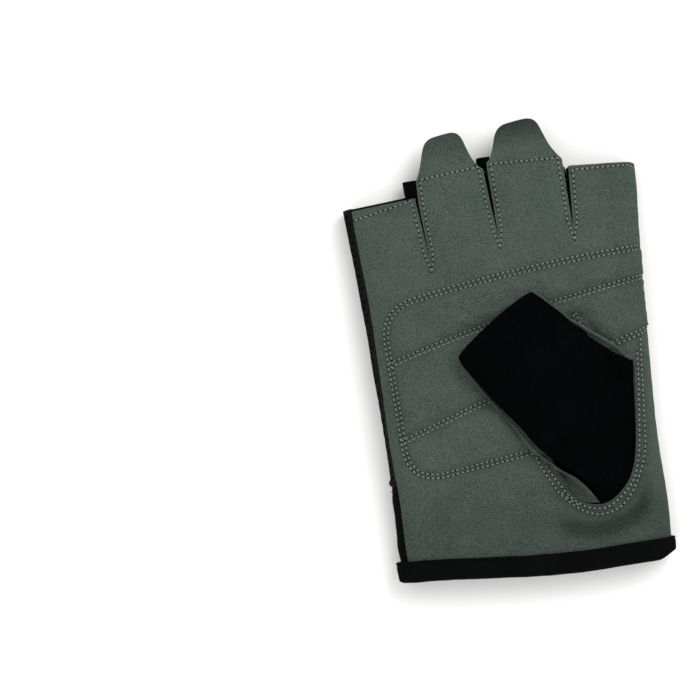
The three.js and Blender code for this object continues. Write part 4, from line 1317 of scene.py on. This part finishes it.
def fourchette_faces(i):
    """The two faces of the wall between two fingers, folded round their crotch."""
    foot = slit_foot(i)

    def arm(side):
        finger = FINGERS[i if side < 0 else i + 1]
        end = KNUCKLE_Y + finger["length"] - side * finger["tilt"] / 2 - HEM_INSET / 2
        if KNUCKLE_Y + finger["length"] > slit_top(i):
            end = slit_top(i) + FOURCHETTE_FREE[i]
        return [(side, y) for y in np.linspace(foot + FOURCHETTE_WALL, end, 34)]

    angles = np.linspace(-math.pi / 2, math.pi / 2, 11)[1:-1]
    bend = [(math.sin(a), foot + FOURCHETTE_WALL * (1 - 2 * math.cos(a))) for a in angles]
    path = np.array([*arm(-1)[::-1], *bend, *arm(1)])
    side, y = path[:, :1], path[:, 1:]
    level = np.linspace(0, 1, 15)[None, :]
    free = smooth(slit_top(i) + 0.2, slit_top(i) + 1.4, y)
    belly = np.sin(math.pi * level) ** 0.6
    sewn = slit_half(i, y) + FOURCHETTE_SEAM + FOURCHETTE_WALL / 2
    closed = np.minimum(sewn, FOURCHETTE_WALL / 2 + 0.06)
    inset = mix(sewn, mix(closed, -FOURCHETTE_BULGE[i], free), belly)
    x = slit_x(i, y) + side * inset
    x, y = np.broadcast_arrays(x, y)
    low = lift(y) + finger_fall(x, y) + BACK_WALL + 0.3
    high = height(y) - finger_fall(x, y) - PALM_WALL - 0.3
    uneven = ripple(y, mix(low, high, level), size=7, seed=20 + i)
    crease = 0.25 * uneven * np.sin(math.pi * level)
    middle = np.stack([x + crease, y, mix(low, high, level)], -1)
    normal = grid_normals(middle)
    return middle + normal * FOURCHETTE_WALL / 2, middle - normal * FOURCHETTE_WALL / 2


class GLOVE_OT_fourchettes(bpy.types.Operator):
    """Set the stretch walls between the fingers"""

    bl_idname = "glove.fourchettes"
    bl_label = "Fourchettes"

    def execute(self, context):
        for i, name in enumerate(["little_ring", "ring_middle", "middle_index"]):
            piece = panel_from_grid(f"fourchette_wall_{name}", *fourchette_faces(i), stretch_cloth(), 0.2)
            finish_piece(piece, [f"fourchette_{name}"])
        return {"FINISHED"}


def hole_point(side, share, inset):
    """A point of the hole's edge, moved into the hole, or out of it where inset is negative."""
    places = np.linspace(0, 1, len(side))
    share = np.clip(share, 0, 1)
    at = lambda values: np.interp(share, places, values)
    tangent = unit(np.gradient(side, axis=0))
    point = np.stack([at(side[:, 0]), at(side[:, 1])], -1)
    normal = np.stack([-at(tangent[:, 1]), at(tangent[:, 0])], -1)
    normal = normal * np.where(np.sum(normal * (HOLE_MIDDLE - point), -1, keepdims=True) < 0, -1, 1)
    return point + normal * inset[..., None]


def patch(root, mouth, low, high, share, turn):
    """A surface between four edges: share runs from the root to the mouth, turn from low to high."""
    root = root + (1 - turn[0])[:, None] * (low[0] - root[0]) + turn[0][:, None] * (high[0] - root[-1])
    ends = lambda path: np.stack(
        [np.interp(share[:, 0], np.linspace(0, 1, len(path)), path[:, k]) for k in (0, 1)], -1
    )
    low, high = ends(low), ends(high)
    s, t = share[..., None], turn[..., None]
    corners = mix(mix(low[0], high[0], t), mix(low[-1], high[-1], t), s)
    return mix(root[None], mouth[None], s) + mix(low[:, None], high[:, None], t) - corners


def stall_grid(rows, columns):
    """Shares from the stall's root to its mouth, and from its low edge to its high one."""
    return np.meshgrid(np.linspace(0, 1, rows) ** STALL_TAPER, np.linspace(0, 1, columns), indexing="ij")


def mouth_line(low, high, turn):
    """The stall's mouth from corner to corner, bowed out a little."""
    line = mix(low[-1], high[-1], turn[:, None])
    way = unit(high[-1] - low[-1])
    return line + np.array([-way[1], way[0]]) * (MOUTH_BOW * np.sin(math.pi * turn) ** 0.5)[:, None]


def lies_at(edge, rise):
    """The height that the stall's seam lies at along an edge, evened out over the quilting."""
    top = palm_top(edge[:, 0], edge[:, 1], rise)
    weights = np.hanning(2 * SEAM_EVENED + 1)
    return np.convolve(np.pad(top, SEAM_EVENED, mode="edge"), weights / weights.sum(), "valid")


def stall_back(share, turn, rise):
    """The stall's fleece face, from its root under the suede over the palm to the mouth."""
    side = np.clip(np.sin(math.pi * turn), 0, 1)
    tuck = (THUMB_TUCK + STALL_ROOT_INSET) * side[0] ** 0.3
    root = hole_point(THUMB_SIDE, turn[0], STALL_ROOT_INSET - tuck)
    low = evenly(spline(FLEECE_LOW_EDGE), 0.5)
    high = evenly(spline(FLEECE_HIGH_EDGE), 0.5)
    plan = patch(root, mouth_line(low, high, turn[0]), low, high, share, turn)
    x, y = plan[..., 0], plan[..., 1]
    low_seam, high_seam = lies_at(plan[:, 0], rise)[:, None], lies_at(plan[:, -1], rise)[:, None]
    seam = mix(low_seam, high_seam, turn) + 2 * SEAM_GAP + STALL_SEAM_RISE
    arch = (THUMB_HEIGHT - STALL_SEAM_RISE) * side**STALL_FULLNESS * smooth(-0.1, 0.75, share)
    slope = palm_skin(x + 0.5, y) - palm_skin(x - 0.5, y)
    tucked = palm_skin(x, y) - (PALM_WALL + 2 * SEAM_GAP) * np.hypot(1, slope)
    risen = smooth(THUMB_TUCK / THUMB_REACH, STALL_RISES_BY, share)
    risen = np.maximum(risen, smooth(0.25, 0, np.minimum(turn, 1 - turn)) * smooth(0, EDGE_RISES_BY, share))
    return np.stack([x, y, mix(tucked, seam + arch, risen)], -1)


def stall_front(share, turn, rise):
    """The stall's suede face, which comes up inside the palm's side of the hole and lies on the palm."""
    root = hole_point(PALM_SIDE, turn[0], np.full(turn[0].shape, GUSSET_INSET))
    low = evenly(spline(SUEDE_LOW_EDGE), 0.5)
    high = evenly(spline(SUEDE_HIGH_EDGE), 0.5)
    plan = patch(root, mouth_line(low, high, turn[0]), low, high, share, turn)
    x, y = plan[..., 0], plan[..., 1]
    near = lambda edge: np.hypot(x - edge[:, :1], y - edge[:, 1:])
    edge = np.minimum(near(plan[:, 0]), near(plan[:, -1]))
    seam = np.where(turn < 0.5, lies_at(plan[:, 0], rise)[:, None], lies_at(plan[:, -1], rise)[:, None])
    level = np.where(turn < 0.5, 0, STALL_LEDGE)
    rolled = (1 - smooth(level, level + STALL_ROLL, edge)) * smooth(0, EDGE_RISES_BY, share)
    held = np.maximum(smooth(*GUSSET_LIP, edge), 1 - smooth(0, GUSSET_ROOT, share))
    gusset = GUSSET_DEPTH * smooth(*GUSSET_FALLS, hole_distance(x, y)) * held
    top = palm_top(x, y, rise) + 2 * SEAM_GAP + STALL_FRONT_WALL - gusset
    return np.stack([x, y, mix(top, seam + STALL_SEAM_RISE, rolled)], -1)


class GLOVE_OT_thumb(bpy.types.Operator):
    """Sew the thumb stall of fleece and suede"""

    bl_idname = "glove.thumb"
    bl_label = "Thumb stall"

    def execute(self, context):
        rise = context.scene.glove_sizes.pad_rise / MM
        share, turn = stall_grid(96, 80)
        outer = stall_back(share, turn, rise)
        normal = grid_normals(outer)
        if np.mean(normal[..., 2]) < 0:
            normal = -normal
        hem_line = THUMB_REACH * (1 - share)
        band = HEM_RISE * (1 - smooth(MOUTH_HEM - HEM_GROOVE_WIDTH, MOUTH_HEM, hem_line))
        band -= HEM_GROOVE * np.exp(-(((hem_line - MOUTH_HEM) / HEM_GROOVE_WIDTH) ** 2))
        soft = 0.25 * ripple(outer[..., 0], outer[..., 1], size=22, seed=31)
        corner = smooth(0, 0.05, np.minimum(turn, 1 - turn))
        outer = outer + normal * ((band * corner + soft) * smooth(0.3, 0.6, share))[..., None]
        inner = outer - normal * STALL_BACK_WALL
        back = panel_from_grid("thumb_fleece", outer, inner, fleece(), 0.3)
        finish_piece(back, ["thumb_back"])
        share, turn = stall_grid(90, 90)
        top = stall_front(share, turn, rise)
        under = top - [0, 0, STALL_FRONT_WALL]
        front = panel_from_grid("thumb_suede", top, under, suede(), 0.3)
        finish_piece(front, ["thumb_front"])
        return {"FINISHED"}


def binding_profile():
    """The folded band's closed section: distance out of the skin, and place along the hand."""
    out, into = BINDING_GAP, -PALM_WALL - BINDING_GAP
    fold = BINDING_WIDTH - BINDING_COVER
    outside, inside_ = out + BINDING_WALL, into - BINDING_WALL
    wide = outside - inside_
    rows = []
    edge = BINDING_WIDTH - BINDING_EDGE
    deep, inset, groove = BINDING_GROOVE
    for along in np.linspace(edge, BINDING_ROUND, 12):
        rows.append((outside - deep * math.exp(-(((along - BINDING_WIDTH + inset) / groove) ** 2)), along))
    for angle in np.linspace(0, math.pi, 9)[1:-1]:
        rows.append((inside_ + wide / 2 * (1 + math.cos(angle)), BINDING_ROUND * (1 - math.sin(angle))))
    rows += [(inside_, along) for along in np.linspace(BINDING_ROUND, edge, 8)]
    rows += [(into - BINDING_WALL / 2, BINDING_WIDTH), (into, edge), (into, fold + 1)]
    rows += [(into + 0.6, fold), (out - 0.6, fold), (out, fold + 1), (out, edge)]
    rows.append((out + BINDING_WALL / 2, BINDING_WIDTH))
    return np.array(rows)


class GLOVE_OT_binding(bpy.types.Operator):
    """Fold the ribbed elastic round the wrist"""

    bl_idname = "glove.binding"
    bl_label = "Wrist binding"

    def execute(self, context):
        sizes = context.scene.glove_sizes
        profile = binding_profile()
        half = float(half_width(WRIST_Y))
        around = (BOTTOM_RADIUS + TOP_RADIUS) * math.pi / 2 + 2 * half - BOTTOM_RADIUS - TOP_RADIUS
        count = 4 * int(2 * around / (sizes.rib_pitch / MM))
        s = np.linspace(-around, around, count, endpoint=False)
        edge = hem(shell(s, WRIST_Y, -1)[..., 0]) + 0.12 * ripple(s, 0 * s, size=14, seed=40)
        points, out, cloth = [], [], []
        across = shell(s + 0.2, edge, -1) - shell(s - 0.2, edge, -1)
        normal = unit(np.stack([across[:, 2], 0 * s, -across[:, 0]], -1))
        corner = HEM_CORNER * smooth(44, 53, shell(s, WRIST_Y, -1)[..., 0])
        for distance, along in profile:
            raised = corner * (1 - along / BINDING_WIDTH)
            points.append(shell(s, edge + along + raised, -1) + normal * distance)
            facing = 1 if distance > BINDING_GAP + 0.7 * BINDING_WALL else 0
            out.append(normal * facing)
            cloth.append(np.stack([s, np.full(s.shape, along), 0 * s], -1) * MM)
        points = np.stack(points)
        triangles = grid_faces(len(profile) + 1, count, closed=True) % (len(profile) * count)
        flat = points.reshape(-1, 3)
        a, b, c = (flat[triangles[0][k]] for k in range(3))
        if np.cross(b - a, c - a) @ np.stack(out)[0, 0] < 0:
            triangles = triangles[:, ::-1]
        piece = made("wrist_elastic_binding", flat, triangles, elastic_tape(), 60)
        store(piece, "cloth", "FLOAT_VECTOR", np.stack(cloth).reshape(-1, 3))
        store(piece, "out", "FLOAT_VECTOR", np.stack(out).reshape(-1, 3))
        tree = relief_tree("elastic_ribs", elastic_tape(), ribs)
        run_tree(piece, tree, {"Pitch": sizes.rib_pitch, "Depth": sizes.rib_height})
        finish_piece(piece, ["cuff_binding"])
        return {"FINISHED"}


# Sewing


def beside(path, distance):
    """A path moved sideways, to its left."""
    tangent = unit(np.gradient(path, axis=0))
    return path + np.stack([-tangent[:, 1], tangent[:, 0]], -1) * distance


def suede_rows(gap):
    """Every row of thread on the suede, in lengths round the skin and along the hand."""
    rows = []
    for line in (OUTLINE, SECOND, THIRD, THIRD_RIGHT):
        line = evenly(line, 1)
        rows += [beside(line, gap / 2), beside(line, -gap / 2)]
    rows += [evenly(spline(points), 1) for points in HOLE_ROWS]
    for i in range(4):
        rows.append(finger_row(i))
    return rows


def finger_row(i):
    """The row inside a finger's cut edges, up one slit, across the end and down the other."""
    finger = FINGERS[i]
    y = KNUCKLE_Y + finger["length"]
    left = y - finger["tilt"] / 2 - finger["row"][0]
    right = y + finger["tilt"] / 2 - finger["row"][1]
    path = []
    if i > 0:
        foot = slit_foot(i - 1)
        up = np.linspace(foot + 1, left, 30)
        inset = HEM_INSET * smooth(-3.5, 5, up - foot)
        path.append([[float(slit_x(i - 1, foot)) + 0.15, foot - 2]])
        path.append(np.stack([slit_x(i - 1, up) + slit_half(i - 1, up) + inset, up], -1))
    else:
        path.append([[float(left_seam(left, 1)) + 1.5, left - 0.6]])
    if i < 3:
        foot = slit_foot(i)
        down = np.linspace(right, foot + 1, 30)
        inset = HEM_INSET * smooth(-3.5, 5, down - foot)
        path.append(np.stack([slit_x(i, down) - slit_half(i, down) - inset, down], -1))
        path.append([[float(slit_x(i, foot)) - 0.15, foot - 2]])
    else:
        path.append([[KNUCKLE_HALF - 3, right], [KNUCKLE_HALF + 1.5, right - 1.2]])
    return evenly(np.vstack(path), 0.5)


def rows_object(name, rows, face, up, raised):
    """Paths as edges on a face, with the face's normal stored on them."""
    points, edges, normals = [], [], []
    for row in rows:
        first = sum(len(p) for p in points)
        s, y = row[:, 0], row[:, 1]
        step = 0.3
        around = face(s + step, y) - face(s - step, y)
        along = face(s, y + step) - face(s, y - step)
        n = unit(np.cross(around, along)) * up
        sunk = ROW_SUNK * smooth(KNUCKLE_HALF - 3, KNUCKLE_HALF + 0.5, s)
        points.append(face(s, y) + n * (raised - sunk)[:, None])
        normals.append(n)
        edges += [(first + k, first + k + 1) for k in range(len(row) - 1)]
    mesh = bpy.data.meshes.new(name)
    mesh.from_pydata((np.vstack(points) * MM).tolist(), edges, [])
    piece = bpy.data.objects.new(name, mesh)
    bpy.context.scene.collection.objects.link(piece)
    store(piece, "up", "FLOAT_VECTOR", np.vstack(normals))
    return piece


class GLOVE_OT_stitches(bpy.types.Operator):
    """Sew the rows of thread on the suede and on the black cloths"""

    bl_idname = "glove.stitches"
    bl_label = "Stitches"

    def execute(self, context):
        sizes = context.scene.glove_sizes
        colours = context.scene.glove_colours
        rise = sizes.pad_rise / MM
        face = lambda s, y: palm_face(s, y, rise)
        rows = suede_rows(sizes.row_gap / MM)
        grey = thread(colours.thread, (0.35, 0.37, 0.35), "polyester_thread_grey")
        # The needle holes' painted shade: dark dots in the thread's dull material, raised a little over the
        # suede
        hole = thread(colours.needle_hole, (0.02, 0.02, 0.02), "needle_hole_shade")
        measures = {"Pitch": sizes.stitch_pitch, "Width": sizes.thread_width}
        kinds = [("suede_stitches", grey, False, 0.05), ("needle_hole_shade_dots", hole, True, 0.1)]
        for name, material, painted_hole_shade, raised in kinds:
            piece = rows_object(name, rows, face, 1, raised)
            run_tree(piece, stitch_tree(name, material, painted_hole_shade), measures)
            finish_piece(piece)
        black = thread(colours.elastic, (0.01, 0.01, 0.01), "polyester_thread_black")
        back = lambda s, y: shell(s, y, -1)
        seam = WRIST_Y + WRIST_BACK_LENGTH
        s = np.linspace(-KNUCKLE_HALF - 6, KNUCKLE_HALF - 6, 120)
        rows = [np.stack([s, np.full(s.shape, seam - BACK_ROW_BELOW)], -1)]
        piece = rows_object("back_stitches", rows, back, -1, -BACK_ROW_SUNK)
        run_tree(piece, stitch_tree("back_stitches", black, False), measures)
        finish_piece(piece)
        return {"FINISHED"}


def lamp(name, power, size, place):
    """A square lamp that points at the glove."""
    data = bpy.data.lights.new(name, "AREA")
    data.energy = power
    data.size = size
    light = bpy.data.objects.new(name, data)
    light.location = place
    light.rotation_euler = (-Vector(place)).to_track_quat("-Z", "Y").to_euler()
    bpy.context.scene.collection.objects.link(light)


class GLOVE_OT_stage(bpy.types.Operator):
    """Set the pale floor, the soft lamps and the camera"""

    bl_idname = "glove.stage"
    bl_label = "Stage"

    def execute(self, context):
        scene = context.scene
        material = bpy.data.materials.new("matt_paper_sweep")
        material.use_nodes = True
        tree = material.node_tree
        tree.nodes.clear()
        place = add(tree, "ShaderNodeTexCoord").outputs["Object"]
        grain = add(tree, "ShaderNodeTexNoise", {"Vector": place, "Scale": 400.0})
        tooth = {"Height": grain.outputs["Fac"], "Distance": 0.00002, "Strength": 0.3}
        bump = add(tree, "ShaderNodeBump", tooth)
        matt = {"Roughness": 0.9, "Specular IOR Level": 0.1, "Normal": bump.outputs["Normal"]}
        white = {"Base Color": (*scene.glove_colours.floor, 1)}
        shader = add(tree, "ShaderNodeBsdfPrincipled", white | matt)
        add(tree, "ShaderNodeOutputMaterial", {"Surface": shader.outputs[0]})
        corners = [(-1, -1), (1, -1), (1, 1), (-1, 1)]
        points = [(FLOOR_HALF * x, FLOOR_HALF * y, FLOOR_LEVEL) for x, y in corners]
        floor = made("floor", points, [(0, 1, 2), (0, 2, 3)], material)
        scene.world = bpy.data.worlds.new("soft_studio")
        scene.world.use_nodes = True
        sky = scene.world.node_tree
        sky.nodes.clear()
        light = add(sky, "ShaderNodeBackground", {"Color": (1, 1, 1, 1), "Strength": SKY_STRENGTH})
        add(sky, "ShaderNodeOutputWorld", {"Surface": light.outputs[0]})
        for name, (power, width, place) in LAMPS.items():
            lamp(name, power, width, place)
        scene.view_settings.view_transform = "Standard"
        data = bpy.data.cameras.new("camera")
        data.sensor_width = SENSOR
        reach = CAMERA_HEIGHT - VIEW_HEIGHT * MM
        data.lens = SENSOR * reach / (VIEW_SPAN * MM)
        data.clip_end = 20
        camera = bpy.data.objects.new("camera", data)
        camera.location = (VIEW_MIDDLE[0] * MM, VIEW_MIDDLE[1] * MM, CAMERA_HEIGHT)
        camera.rotation_euler = (0, 0, VIEW_TURN)
        scene.collection.objects.link(camera)
        scene.camera = camera
        return {"FINISHED"}


OPERATORS = [
    GLOVE_OT_stage,
    GLOVE_OT_palm,
    GLOVE_OT_back,
    GLOVE_OT_fourchettes,
    GLOVE_OT_thumb,
    GLOVE_OT_binding,
    GLOVE_OT_stitches,
]


class GLOVE_PT_pieces(bpy.types.Panel):
    """The glove's pieces and their sizes and colours"""

    bl_idname = "GLOVE_PT_pieces"
    bl_label = "Weightlifting glove"
    bl_space_type = "VIEW_3D"
    bl_region_type = "UI"
    bl_category = "Glove"

    def draw(self, context):
        for group in (context.scene.glove_sizes, context.scene.glove_colours):
            for name in group.__annotations__:
                self.layout.prop(group, name)
        for operator in OPERATORS:
            self.layout.operator(operator.bl_idname)


CLASSES = [GLOVE_PG_sizes, GLOVE_PG_colours, *OPERATORS, GLOVE_PT_pieces]


def register():
    for each in CLASSES:
        bpy.utils.register_class(each)
    bpy.types.Scene.glove_sizes = PointerProperty(type=GLOVE_PG_sizes)
    bpy.types.Scene.glove_colours = PointerProperty(type=GLOVE_PG_colours)


def unregister():
    del bpy.types.Scene.glove_colours
    del bpy.types.Scene.glove_sizes
    for each in reversed(CLASSES):
        bpy.utils.unregister_class(each)


def main():
    register()
    for operator in OPERATORS:
        group, name = operator.bl_idname.split(".")
        getattr(getattr(bpy.ops, group), name)()


if __name__ == "__main__":
    main()
